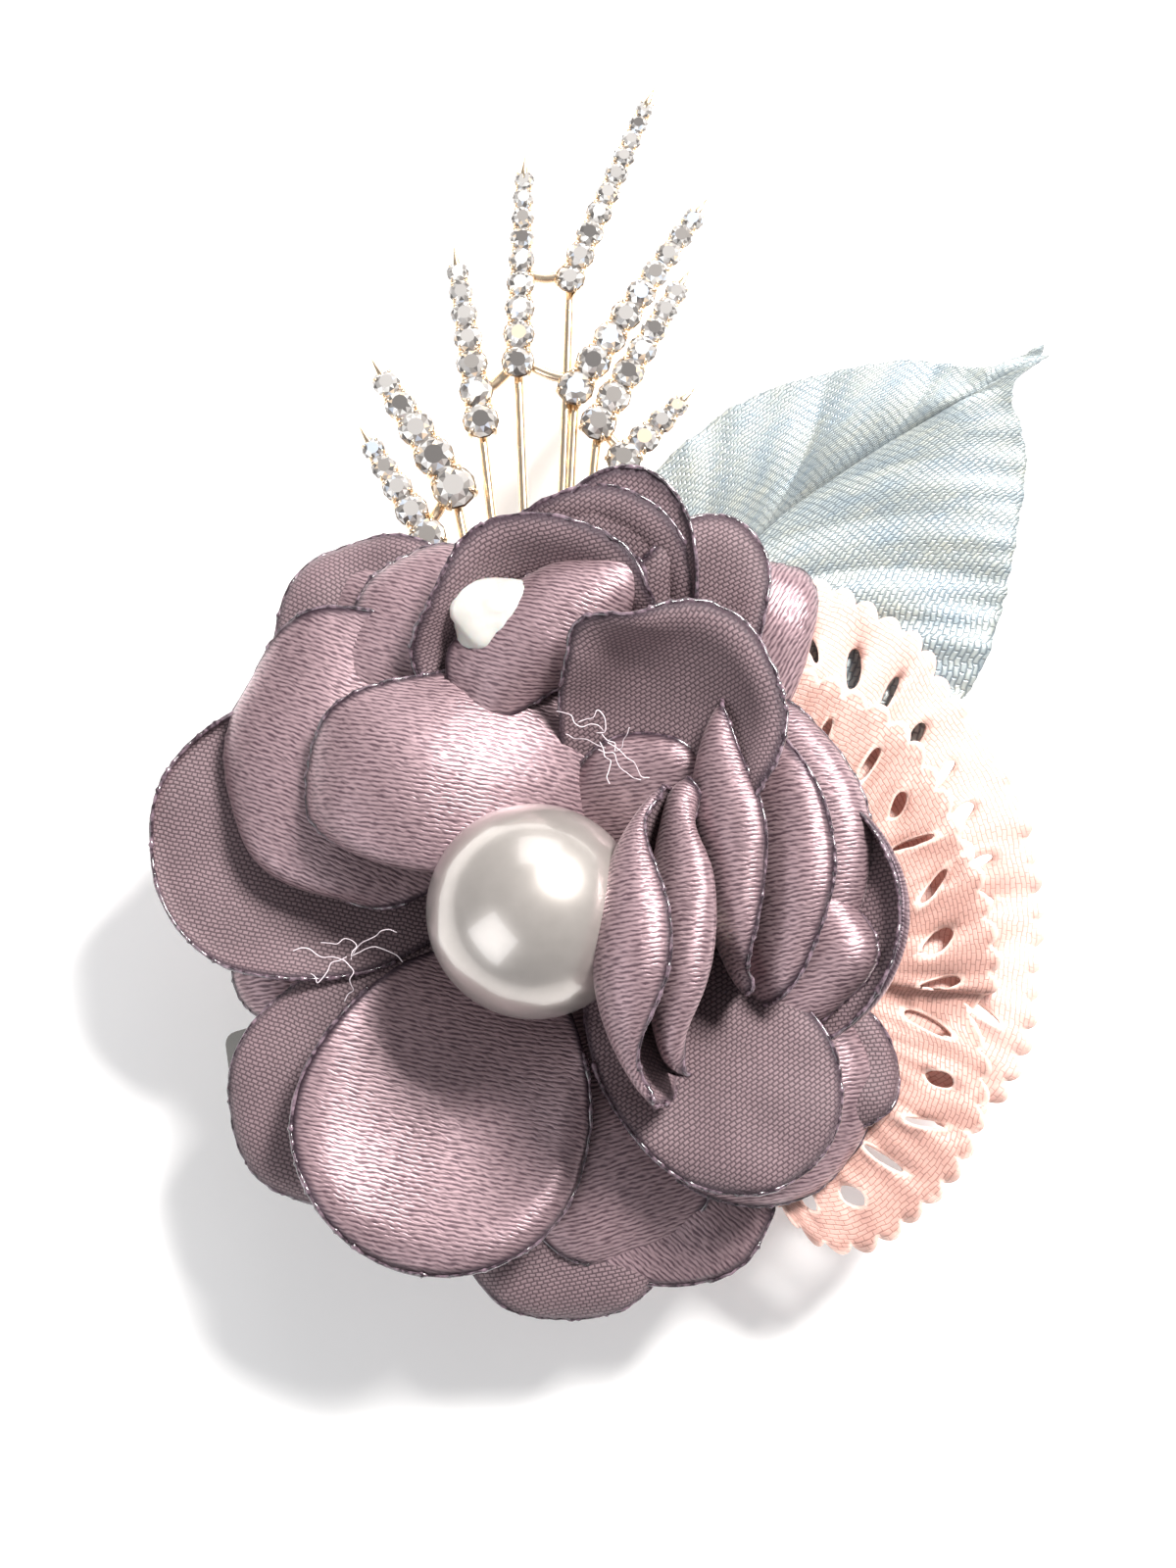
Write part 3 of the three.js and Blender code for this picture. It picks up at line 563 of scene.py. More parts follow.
# place is a petal's place in its ring; solid is the place of the CAD petal that it stands for, where
# that differs, and None where it has no CAD petal.
PETALS = {
    "heart": [  # leaning over the pearl
        dict(place="right", root=(8.8, -2.4, 13.6), heading=-2,
             length=20, half_width=12, rise=(95, 108, 140, 62, -35), cup=(-25, -52),
             curl=(-20, -15, -20), taper=0.2),
        dict(place="outer", solid="lower_right", root=(8.3, -1.2, 14.6),
             heading=-3, length=17, half_width=11.2, rise=(90, 100, 104, 30, -75), cup=(-18, -34),
             taper=0.2, curl=(-60, -60, -60)),
    ],
    "inner": [
        dict(place="right", root=(11.2, 4.2, 13.4), heading=4,
             length=15.5, half_width=11, rise=(88, 96, 106, 45, -20), cup=(-15, -45),
             curl=(-15, -15, -15), taper=0.2),
        dict(place="hood", solid="upper_right", root=(3.6, 7.2, 16.8),
             heading=46, length=17.2, half_width=10.8, rise=(28, 20, 26, 44, 62), cup=(70, 85),
             curl=(-40, -70, -60), dull_up=True, weave=30, taper=0.5),
        dict(place="fold", solid=None, root=(2.5, 2.2, 14.2), heading=42, length=14.5, half_width=6.6,
             rise=(55, 45, 32, 15, -5), cup=(10, -10)),
        dict(place="top", root=(-5.6, 14.4, 19.6), heading=36,
             length=16.2, half_width=5.1, rise=(36, 22, 10, -6, -26), cup=(-55, -90),
             curl=(-5, -20, -5), curl_band=2.0, weave=-14, taper=0.1),
        dict(place="left", root=(5.6, 10.2, 16.8), heading=186,
             length=23.8, half_width=8.0, rise=(36, 26, 12, -8, -60), cup=(-20, -48),
             curl=(15, -10, -170), curl_band=2.4, lean=2, weave=-8, taper=0.0),
    ],
    "middle": [
        dict(place="right", root=(4, 3.0, 12), heading=3,
             length=21.5, half_width=11, rise=(5, 25, 82, 50, -15), cup=(10, -45),
             curl=(-15, -15, -15)),
        dict(place="lower_right", root=(4.2, -2.6, 13.8),
             heading=-44, length=21, half_width=8.0, rise=(35, 26, 16, 6, -15), cup=(25, -12),
             curl=(-25, -35, -10), dull_up=True, weave=35, ripple=0.35),
        dict(place="top", root=(0.2, 6, 12.6), heading=89,
             length=23.5, half_width=10.6, rise=(10, 14, 26, 44, 58), cup=(55, 75),
             curl=(-40, -60, -40), dull_up=True, weave=20),
        dict(place="top_low", solid=None, root=(1, 6, 12.2), heading=80, length=25.2, half_width=9.2,
             rise=(10, 14, 24, 36, 42), cup=(45, 62), curl=(-40, -50, -40), dull_up=True, weave=32),
    ],
    "second": [
        dict(place="right", root=(3.2, 3.4, 11.5), heading=9,
             length=22.5, half_width=12, rise=(5, 18, 55, 25, -30), cup=(10, -40)),
        dict(place="lower_left", root=(-2.4, -1.6, 13.2),
             heading=-107, length=22.8, half_width=11.0, rise=(24, 8, 2, 12, 10), cup=(24, 22),
             curl=(-25, -45, -80), curl_band=2.6, weave=-10, taper=0.3),
        dict(place="left", root=(-2.0, 8.4, 13.6), heading=170,
             length=22.5, half_width=11.8, rise=(35, 24, 8, -14, -58), cup=(8, -34),
             curl=(20, -30, -160), curl_band=2.8, lean=-5, weave=-20, taper=0.3),
        dict(place="upper_left", root=(-0.8, 6, 12.5),
             heading=111, length=23, half_width=8.6, rise=(33, 30, 18, 0, -40), cup=(10, -30),
             curl=(-120, -30, 10), weave=-18),
        dict(place="upper_left_low", solid=None, root=(-1.6, 5.5, 11.6), heading=119, length=24,
             half_width=8.2, rise=(26, 25, 16, -6, -45), cup=(10, -30), weave=-25, curl=(-50, -30, 10)),
        dict(place="top", root=(2.4, 5.4, 11.8), heading=80,
             length=26.8, half_width=7.0, rise=(20, 24, 28, 24, 8), cup=(25, 16), dull_up=True,
             curl=(60, 20, -20), curl_band=1.3, weave=40),
        dict(place="bottom", root=(1.6, -3, 12.2), heading=-76,
             length=21.5, half_width=8.2, rise=(22, 15, 5, -12, -36), cup=(14, -30), weave=18,
             curl=(-40, -20, 25)),
        dict(place="lower_right", root=(2, -3, 12),
             heading=-32, length=25, half_width=9.4, rise=(18, 14, 8, -10, -40), cup=(10, -25)),
        dict(place="right_small", solid=None, root=(3.4, 0.2, 11.8), heading=-9, length=22.2,
             half_width=7.4, rise=(5, 20, 52, 25, -30), cup=(10, -45)),
    ],
    "outer": [
        dict(place="left", root=(-3, 4.6, 11), heading=175,
             length=24.5, half_width=10.8, rise=(12, 10, 6, 2, -5), cup=(12, 8),
             curl=(60, 140, 30), curl_band=1.4, dull_up=True, weave=-12, taper=0.3),
        dict(place="upper_left", root=(-1.6, 5, 10.8),
             heading=122, length=25.8, half_width=9.2, rise=(20, 18, 12, 4, -12), cup=(10, -10),
             dull_up=True, weave=-30),
        dict(place="upper_right", root=(4, 5, 12.2),
             heading=67, length=25.4, half_width=5.8, rise=(22, 24, 26, 18, 6), cup=(40, 45),
             dull_up=True, weave=30),
        dict(place="upper_right_roll", solid=None, root=(5.0, 4.6, 11.6), heading=57, length=26.0,
             half_width=6.4, rise=(20, 25, 26, 6, -44), cup=(10, -50), curl=(-90, -50, 15),
             weave=60),
        dict(place="right", root=(3, 0.4, 11), heading=-1,
             length=24.8, half_width=10.8, rise=(5, 15, 30, 30, 22), cup=(10, 5),
             curl=(60, 160, 60), curl_band=1.8, dull_up=True),
        dict(place="lower_right", root=(2, -3.2, 11.2),
             heading=-63, length=23.4, half_width=9.2, rise=(14, 10, 6, -6, -25), cup=(10, -20),
             curl=(-15, -15, 10), weave=-40),
        dict(place="right_low", solid=None, root=(2, -2, 10.8), heading=-23, length=25, half_width=6.5,
             rise=(5, 8, 12, 5, -10), dull_up=True),
        dict(place="bottom", root=(1.6, -3, 11.0),
             heading=-88, length=24.6, half_width=9.6, rise=(12, 9, 4, -6, -22), cup=(12, -18),
             dull_up=True, weave=12),
        dict(place="lower_left", root=(-3, -2, 11),
             heading=-138, length=22.6, half_width=8.8, rise=(15, 12, 8, -2, -20), cup=(12, -12),
             dull_up=True, weave=-20),
        dict(place="left_low", solid=None, root=(-2, 0.2, 10.5), heading=-168, length=20.3,
             half_width=5.4, rise=(8, 8, 4, -5, -30)),
    ],
}

PETAL_GRID = 34


def petal_grid(p, seed):
    """Where a petal's cloth lies: points, cloth coordinates and the distance to its rim."""
    along, across = np.meshgrid(np.linspace(-1, 1, PETAL_GRID + 1),
                                np.linspace(-1, 1, PETAL_GRID + 1), indexing="ij")
    disc_x = across * np.sqrt(1 - along ** 2 / 2)
    disc_y = along * np.sqrt(1 - across ** 2 / 2)
    rho = np.sqrt(disc_x ** 2 + disc_y ** 2)
    polar = np.arctan2(disc_y, disc_x)
    width = 1 - p["taper"] * ((1 - disc_y) / 2) ** 1.5
    flat_x, flat_y = p["half_width"] * disc_x * width, p["length"] * (disc_y + 1) / 2
    rim = (1 - rho) * (p["half_width"] + p["length"] / 2) / 2
    # the rim's curl, as a roll of the outer band about a line inside it
    right, tip, left = (math.radians(c) for c in p["curl"])
    sideways = np.cos(polar)
    turn = tip * np.clip(disc_y, 0, 1) ** 2 + np.where(sideways > 0, left, right) * sideways ** 2
    turn = turn * np.clip((disc_y + 0.5) / 0.6, 0, 1)
    turn = np.where(np.abs(turn) < 1e-3, 1e-3, turn)
    into = np.clip(p["curl_band"] - rim, 0, None)
    radius = p["curl_band"] / np.abs(turn)
    drawn_in = into - radius * np.sin(into / radius)
    lift = np.sign(turn) * radius * (1 - np.cos(into / radius))
    waves = sum(math.sin(seed * k) * np.sin(k * polar + seed * 1.7 * k) for k in (3, 5, 7))
    lift = lift + p["ruffle"] * rho ** 3 * waves
    # folds from the gathered root, dying out towards the tip
    folds = np.cos((3.2 + math.sin(seed)) * disc_x + seed) * np.clip(1 - (disc_y + 1) / 1.7, 0, 1)
    lift = lift + p["ripple"] * folds + 0.3 * p["ripple"] * np.sin(
        2.3 * disc_x + 1.9 * disc_y + seed)
    # small drawn-up puckers right at the singed edge
    lift = lift + 0.09 * rho ** 14 * np.sin(31 * polar + 3 * np.sin(9 * polar + seed))
    outward = unit(np.stack([disc_x, disc_y], -1) + 1e-9)
    bent_x, bent_y = flat_x - outward[..., 0] * drawn_in, flat_y - outward[..., 1] * drawn_in
    # the spine
    steps = np.linspace(0, 1, 81)
    slope = np.radians(np.interp(steps, np.linspace(0, 1, len(p["rise"])), p["rise"]))
    slope = np.convolve(np.pad(slope, 8, "edge"), np.ones(17) / 17, "valid")
    facing = math.radians(p["heading"])
    forward = np.stack([np.cos(slope) * math.cos(facing), np.cos(slope) * math.sin(facing),
                        np.sin(slope)], -1) * p["length"] / (len(steps) - 1)
    spine = np.concatenate([np.zeros((1, 3)), np.cumsum((forward[1:] + forward[:-1]) / 2, 0)])
    share = np.clip(bent_y / p["length"], 0, 1)

    def at(table):
        return np.stack([np.interp(share, steps, table[:, k]) for k in range(3)], -1)

    tangent = unit(at(forward))
    left_way = np.broadcast_to((-math.sin(facing), math.cos(facing), 0.0), tangent.shape)
    normal = np.cross(tangent, left_way)
    lean = math.radians(p["lean"])
    left_way, normal = (left_way * math.cos(lean) + normal * math.sin(lean),
                        normal * math.cos(lean) - left_way * math.sin(lean))
    # the cross-section is an arc; columns run from the right side to the left
    cup = np.radians(p["cup"][0] + (p["cup"][1] - p["cup"][0]) * share)
    angle = cup * bent_x / p["half_width"]
    safe = np.where(np.abs(angle) < 1e-4, 1e-4, angle)
    sideways, upwards = bent_x * np.sin(safe) / safe, bent_x * (1 - np.cos(safe)) / safe
    local = normal * np.cos(angle)[..., None] - left_way * np.sin(angle)[..., None]
    points = (np.array(p["root"]) + AXIS + at(spine) + left_way * sideways[..., None]
              + normal * upwards[..., None] + local * lift[..., None])
    thread = math.radians(p["heading"] - p["weave"])
    cloth = np.stack([flat_y * math.cos(thread) - flat_x * math.sin(thread),
                      flat_y * math.sin(thread) + flat_x * math.cos(thread)], -1)
    loop = rim_loop(PETAL_GRID)
    area = abs(sum(flat_x[a] * flat_y[b] - flat_x[b] * flat_y[a]
                   for a, b in zip(loop, loop[1:] + loop[:1]))) / 2
    return points, cloth, rim, area


def rim_loop(size):
    """Grid places round the edge, from the root's right corner, past the tip and back."""
    return ([(i, size) for i in range(size)] + [(size, j) for j in range(size, 0, -1)]
            + [(i, 0) for i in range(size, 0, -1)] + [(0, j) for j in range(size)])


def make_petal(ring, p, index, satin, dull, melted, settings):
    """Cuts one petal, singes its edge and sets it on the glue."""
    p = {**PETAL_DEFAULTS, "solid": p["place"], **p}
    seed = 1.3 + 2.17 * index
    points, cloth, rim, area = petal_grid(p, seed)
    loop = rim_loop(PETAL_GRID)
    outline = np.array([points[place] for place in loop if place[0] > 0.12 * PETAL_GRID])
    outline = spaced(outline, 0.2)
    rng = np.random.default_rng(100 + index)
    rough = np.convolve(rng.normal(0, 1, len(outline) + 4), np.ones(5) / 5, "valid")
    radii = settings.rim_radius / MM * (1 + 0.35 * rough)
    for spot in rng.choice(len(outline), size=max(3, len(outline) // 14), replace=False):
        radii[spot] += rng.uniform(0.04, 0.12)  # a bleb where the melt gathered
    materials = [dull, satin, melted] if p["dull_up"] else [satin, dull, melted]
    made = sheet_mesh(f"petal_{ring}_{p['place']}", points, cloth, rim,
                      settings.satin_thickness / MM, materials, outline, np.clip(radii, 0.08, None))
    glued(made, "polyester_satin", *([f"{ring}_petal_{p['solid']}"] if p["solid"] else []))


# ---------------------------------------------------------------- ribbon leaf
# Outlines in millimetres from the base to the tip, placed as the petals are.
LEAF_RIB = [(5, 10.5, 8.3), (10, 20.5, 8.5), (15.6, 28.3, 8.9), (21.8, 33.1, 9.4),
            (28.2, 36.9, 10.0), (35.9, 41.0, 10.9)]
LEAF_UPPER = [(4.5, 11, 8.2), (2.8, 20, 8.4), (5.2, 29, 8.8), (9.1, 33.9, 9.1), (12, 36.4, 9.3),
              (14.8, 38.3, 9.6), (19.8, 40.1, 9.8), (26.2, 41.1, 10.1), (31.8, 40.4, 10.4),
              (33.6, 40.9, 10.7), (36.2, 42.0, 11.0)]
LEAF_LOWER = [(5.5, 10, 8.2), (14, 6.5, 8.3), (24, 9.5, 8.5), (30.5, 17.0, 8.8), (32.8, 22.4, 9.0),
              (34.0, 27.4, 9.3), (35.0, 34.3, 9.7), (34.0, 38.9, 10.4), (36.6, 41.4, 11.0)]
LEAF_VEIN_SWEEP = {1: 0.45, -1: 0.33}  # how far the veins of the upper and lower half lean forward
LEAF_PLEATS = {1: 7, -1: 8}
LEAF_CUT = np.array((30, 46))  # width and length of the ribbon before it is pressed


def leaf_grid():
    """Where the leaf's ribbon lies: points, cloth coordinates and the distance to its edge."""
    along = np.linspace(0, 1, 131) ** 1.5
    across = np.linspace(-1, 1, 73)
    t, v = np.meshgrid(along, across, indexing="ij")
    rib = outline_place(smooth_line(LEAF_RIB, 12), t)
    points = np.empty(t.shape + (3,))
    for side, outline in ((1, LEAF_UPPER), (-1, LEAF_LOWER)):
        half = v >= 0 if side > 0 else v < 0
        far = t ** LEAF_VEIN_SWEEP[side]
        edge = outline_place(smooth_line(outline, 12), far)
        reach = np.abs(v)
        flat = rib + (edge - rib) * reach[..., None]
        # rounded pleats with a sharp line between them, deepest half way out
        wave = LEAF_PLEATS[side] * t ** 0.7 + 0.5 * np.sin(5 * t + side)
        pleat = np.abs(np.sin(math.pi * wave)) ** 0.8
        uneven = 0.55 + 0.3 * np.sin(11 * t + 2 * side) + 0.2 * np.sin(23 * t + 5 * reach + side)
        depth = (0.9 if side > 0 else 0.5) * uneven * np.clip((1 - t) * 7, 0, 1)
        depth = depth * np.sin(math.pi * np.clip(reach * 0.82 + 0.06, 0, 1))
        dome = (0.9 if side > 0 else 0.9 * t) * np.sin(math.pi * reach ** 0.8 * 0.85)
        ripple = 0.1 * reach ** 3 * np.sin(2 * math.pi * (2.1 * wave + 0.3 * side))
        ripple = ripple + 0.22 * np.sin(7 * reach + 4 * wave + 3 * np.sin(6 * t)) * reach
        flat[..., 2] += depth * (pleat - 0.5) + dome * np.clip((1 - t) * 5, 0, 1) - 0.4 + ripple
        # the vein lines bow a little towards the tip
        chord = edge - rib
        bow = 0.06 * np.sin(math.pi * reach)
        flat[..., 0] += chord[..., 1] * bow * side
        flat[..., 1] -= chord[..., 0] * bow * side
        points[half] = flat[half]
    # the woven edge frays unevenly
    fray = np.clip((np.abs(v) - 0.94) / 0.06, 0, 1)
    for i in range(t.shape[0]):
        for j in (0, 1, 2, -3, -2, -1):
            shift = noise.noise(Vector((i * 0.55, j * 3.1, 0.4)))
            points[i, j, :2] += 0.22 * shift * fray[i, j] * unit(points[i, j, :2] - rib[i, j, :2])
    points[..., :2] += AXIS[:2]
    span = np.linalg.norm(points[:, -1] - points[:, 36], axis=-1, keepdims=True)
    cloth = np.stack([t * LEAF_CUT[1], v * np.maximum(span, 4)], -1)
    edge_distance = (1 - np.abs(v)) * 12
    return points, cloth, edge_distance


class HAIRCLIP_OT_leaf(bpy.types.Operator):
    """Presses the ribbed ribbon leaf into its pleats"""

    bl_idname = "hairclip.leaf"
    bl_label = "Ribbon leaf"

    def execute(self, context):
        settings = context.scene.hairclip_trimmings
        points, cloth, edge_distance = leaf_grid()
        brocade = silver_brocade()
        made = sheet_mesh("ribbon_leaf_pleated", points, cloth, edge_distance,
                          settings.ribbon_thickness / MM, [brocade] * 3, None, None)
        glued(made, "lurex_brocade", "ribbon_leaf")
        return {"FINISHED"}


# ---------------------------------------------------------------- rosette
ROSETTE_DEPTH = 15.0  # width of the stock ribbon
GATHERED_SHARE = 0.16  # length of the gathered inner edge, as a share of the outer one
SLOT_POWER = 2.4  # of the rounded oblong that a slot is: 2 would be an ellipse
ROSETTES = [
    dict(name="rosette_back_ribbon", node="rosette_back_layer", height=9.9, lift=0.35,
         edge=[(11.5, 25.8), (15, 26.3), (18.2, 25.6), (21.7, 24.5), (24.4, 22.7), (27.2, 20.6),
               (28.8, 17.7), (30.8, 15.3), (32.5, 12.4), (34.1, 8.9), (35, 4.8), (35.4, 1),
               (34.9, -2.8), (34.3, -7.5), (33.2, -10.2), (31.8, -12.2), (28, -14)],
         middle=(13, 3), pleats=(1.5, 24, 0.42), waves=4, phase=0.2,
         # painted sunlight: the same ribbon as the front layer, in paler colours
         ribbon=("laser_cut_ribbon_painted_sunlit", "#e0bab0", "#bf9287")),
    dict(name="rosette_front_ribbon", node="rosette_front_layer", height=11.0, lift=0.45,
         edge=[(16, 18.5), (19.7, 17.9), (22.8, 16.4), (25.8, 14.3), (27.5, 11.5), (28.9, 8.7),
               (30.1, 5.6), (31.1, 2.5), (31.9, -1.9), (31.5, -4.9), (30.5, -6.8), (31.2, -9.3),
               (30.7, -13), (29.5, -15.9), (28.1, -17.9), (26.4, -19.5), (24.4, -21.2),
               (22, -22.2), (19.4, -21.8), (17.5, -20.2), (15.5, -18)],
         middle=(12, -3), pleats=(1.0, 60, 1.0), waves=3, phase=1.4,
         # painted shade: the same ribbon as the back layer, in darker colours
         ribbon=("laser_cut_ribbon_painted_shade", "#c2978c", "#926b61")),
]


def scallop(x, pitch):
    """Height of the cut edge below its crown at a place along the ribbon."""
    return 0.62 * (1 - np.abs(np.sin(math.pi * x / pitch)) ** 0.75)


def slots_along(length, pitch, rng):
    """The cut slots: one to every two scallops, leaning a little either way."""
    count = int(length / (2 * pitch))
    return [dict(x=(k + 0.5 + rng.uniform(-0.12, 0.12)) * length / count,
                 y=ROSETTE_DEPTH - 3.5 + rng.uniform(-0.4, 0.4), a=rng.uniform(0.8, 1.6),
                 b=rng.uniform(0.28, 0.66), lean=rng.uniform(-0.95, 0.45))
            for k in range(count)]


def slot_lips(slots, x, y):
    """How far the ribbon stands up on one side of each slot and sinks on the other."""
    lift = np.zeros_like(x)
    for slot in slots:
        side = np.tanh((x - slot["x"]) / slot["b"])
        away = np.clip(slot_share(slot, x, y) - 1, 0, None)
        lift += (0.5 if slot["a"] > 1.1 else -0.4) * side * np.exp(-(1.1 * away) ** 2)
    return lift


def slot_share(slot, x, y):
    """Below 1 inside a slot."""
    c, s = math.cos(slot["lean"]), math.sin(slot["lean"])
    dx, dy = x - slot["x"], y - slot["y"]
    across, along = dx * c - dy * s, dx * s + dy * c
    return (np.abs(across / slot["b"]) ** SLOT_POWER
            + np.abs(along / slot["a"]) ** SLOT_POWER) ** (1 / SLOT_POWER)


def cut_ribbon(length, pitch, slots):
    """A flat ribbon with a scalloped edge and slots, as 2-D points and triangles."""
    points, edges = [], []

    def ring(line):
        start = len(points)
        points.extend(line)
        edges.extend((start + k, start + (k + 1) % len(line)) for k in range(len(line)))

    top = np.arange(0, length + 1e-6, pitch / 12)
    outline = [(x, ROSETTE_DEPTH - float(scallop(x, pitch))) for x in top]
    outline += [(top[-1], y) for y in np.arange(ROSETTE_DEPTH - 1.4, 0.4, -0.9)]
    outline += [(x, 0.0) for x in np.linspace(top[-1], 0, int(length / 1.2))]
    outline += [(0.0, y) for y in np.arange(0.9, ROSETTE_DEPTH - 1.0, 0.9)]
    ring(outline)
    for slot in slots:
        c, s = math.cos(slot["lean"]), math.sin(slot["lean"])
        line = []
        for turn in np.arange(18) * 2 * math.pi / 18:
            across = slot["b"] * math.copysign(abs(math.cos(turn)) ** 0.83, math.cos(turn))
            along = slot["a"] * math.copysign(abs(math.sin(turn)) ** 0.83, math.sin(turn))
            line.append((slot["x"] + across * c + along * s, slot["y"] - across * s + along * c))
        ring(line)
    step = 0.62
    for i, x in enumerate(np.arange(step, top[-1] - 0.3, step)):
        for y in np.arange(0.4 + (i % 2) * step / 2, ROSETTE_DEPTH - 0.9, step):
            if all(slot_share(slot, x, y) > 1.25 for slot in slots):
                points.append((x, y))
    flat, _, triangles, *_ = delaunay_2d_cdt([Vector(p) for p in points], edges, [], 0, 1e-6)
    flat = np.array([tuple(p) for p in flat])
    kept = []
    for triangle in triangles:
        x, y = flat[list(triangle)].mean(axis=0)
        if y > ROSETTE_DEPTH - scallop(x, pitch) or any(slot_share(s, x, y) < 0.97 for s in slots):
            continue
        kept.append(tuple(triangle))
    return flat, kept


def rosette_place(r, edge, length, x, y):
    """Where a place on the flat ribbon lies once it is gathered round."""
    share = x / length
    outer = np.stack([np.interp(share, np.linspace(0, 1, len(edge)), edge[:, k])
                      for k in range(2)], -1)
    inner = np.array(r["middle"]) + GATHERED_SHARE * (outer - np.array(r["middle"]))
    reach = (y / ROSETTE_DEPTH)[..., None]
    plan = inner + (outer - inner) * reach
    depth, count, ends = r["pleats"]
    near = np.clip(1 - share / ends, 0, 1) if ends < 1 else 0.5
    pleat = depth * near * (np.abs(np.sin(count * share * math.pi * 0.55)) ** 0.7 - 0.5)
    pleat = pleat * np.clip(1.25 - reach[..., 0], 0, 1)
    wave = r["lift"] * np.sin(2 * math.pi * r["waves"] * share + r["phase"]) * reach[..., 0]
    flutter = 0.18 * reach[..., 0] ** 6 * np.sin(2 * math.pi * x / 4.3 + 2 * np.sin(share * 9))
    height = r["height"] + pleat + wave + flutter
    if "front" in r["name"]:  # one overlapping fold: the lower part tucks under the upper
        fold = 1 / (1 + np.exp(-(share - 0.515) * 140))
        height = height + 0.75 - 1.25 * fold * (0.35 + 0.65 * reach[..., 0])
        plan = plan + np.array((0.0, 1.4)) * (np.exp(-((share - 0.535) / 0.02) ** 2)
                                              * reach[..., 0])[..., None]
    return np.concatenate([plan + AXIS[:2], height[..., None]], -1)


def make_rosette(r, index, pitch, thickness, ribbon):
    """Cuts one length of ribbon, gathers it round and glues it down."""
    edge = smooth_line([(*p, 0) for p in r["edge"]], 14)
    edge = spaced(edge, 0.25)
    length = float(np.linalg.norm(np.diff(edge, axis=0), axis=1).sum())
    length = round(length / pitch) * pitch
    slots = slots_along(length, pitch, np.random.default_rng(40 + index))
    flat, triangles = cut_ribbon(length, pitch, slots)
    x, y = flat[:, 0], flat[:, 1]

    def place(dx, dy):
        places = rosette_place(r, edge, length, x + dx, y + dy)
        places[:, 2] += slot_lips(slots, x + dx, y + dy)
        return places

    middle = place(0, 0)
    normals = unit(np.cross(place(0.02, 0) - middle, place(0, 0.02) - middle))
    normals *= np.sign(normals[:, 2:])
    count = len(middle)
    points = np.concatenate([middle + normals * thickness / 2, middle - normals * thickness / 2])
    faces, open_edges = [], {}
    for triangle in triangles:
        a, b, c = (middle[v] for v in triangle)
        if np.cross(b - a, c - a)[2] < 0:
            triangle = triangle[::-1]
        faces.append(triangle)
        faces.append(tuple(v + count for v in triangle[::-1]))
        for p, q in zip(triangle, triangle[1:] + triangle[:1]):
            if (q, p) in open_edges:
                del open_edges[(q, p)]
            else:
                open_edges[(p, q)] = True
    faces += [(q, p, p + count, q + count) for p, q in open_edges]
    to_edge = ROSETTE_DEPTH - scallop(x, pitch) - y
    for slot in slots:
        to_edge = np.minimum(to_edge, (slot_share(slot, x, y) - 1) * 1.5 * slot["b"])
    used = sorted({v for face in faces for v in face})
    order = {v: k for k, v in enumerate(used)}
    faces = [tuple(order[v] for v in face) for face in faces]
    made = mesh_object(r["name"], points[used], faces, [ribbon],
                       uvs=np.concatenate([flat] * 2)[used],
                       values={"rim_distance": np.concatenate([to_edge] * 2)[used]})
    glued(made, "blush_satin_ribbon", r["node"])


class HAIRCLIP_OT_rosette(bpy.types.Operator):
    """Cuts the scalloped, slotted ribbon and gathers it into two layers"""

    bl_idname = "hairclip.rosette"
    bl_label = "Ribbon rosette"

    def execute(self, context):
        settings = context.scene.hairclip_trimmings
        for index, r in enumerate(ROSETTES):
            ribbon = blush_ribbon(*r["ribbon"])
            make_rosette(r, index, settings.scallop_pitch / MM, settings.ribbon_thickness / MM,
                         ribbon)
        return {"FINISHED"}


# ---------------------------------------------------------------- crystal branch
ROW_STONES = (5, 5, 7, 9, 10, 9, 7, 4)
LEFT_LEANING_ROWS = 3
SMALLEST_STONE = 0.62  # of the stone at the row's foot
GIRDLE = 1.09  # a stone's girdle over its nominal radius, at the row's foot
BRANCH_ROOT = AXIS + np.array((0.4, 9.0, 9.0))
TIES = ((3, 0.03, 2, 0.2), (3, 0.5, 4, 0.05), (3, 0.03, 5, 0.06), (6, 0.02, 7, 0.12),
        (1, 0.05, 0, 0.1))  # row, share of its length, to row, share


def crystal_row(index):
    """The middle, radius and direction of every stone in a row, from the row's CAD box."""
    low, high, middle = box_mm(f"crystal_row_{index + 1}")
    shares = np.linspace(1, SMALLEST_STONE, ROW_STONES[index])
    ends = shares[0] + shares[-1]
    width, height = (high - low)[:2]
    run = 2 * shares.sum() - ends
    # the box is as wide as the run of stone middles plus the two end stones' girdles
    girdle = GIRDLE * ends
    a = 2 * girdle ** 2 - run ** 2
    b = -2 * girdle * (width + height)
    c = width ** 2 + height ** 2
    size = (-b - math.sqrt(b * b - 4 * a * c)) / (2 * a)
    if size <= 0 or girdle * size > min(width, height) + 0.3:
        size = (-b + math.sqrt(b * b - 4 * a * c)) / (2 * a)
    lean = -1 if index < LEFT_LEANING_ROWS else 1
    reach = size * GIRDLE
    foot = np.array([low[0] + reach if lean > 0 else high[0] - reach, low[1] + reach, 0.0])
    tip_reach = reach * SMALLEST_STONE
    tip = np.array([high[0] - tip_reach if lean > 0 else low[0] + tip_reach,
                    high[1] - tip_reach, 0.0])
    steps = np.concatenate([[0], np.cumsum(shares[1:] + shares[:-1])]) / run
    places = foot + (tip - foot) * steps[:, None]
    places[:, 2] = high[2] - 0.35 * size - (1 - steps) * 0.05 * (tip[1] - foot[1])
    return places, shares * size, unit(tip - foot)


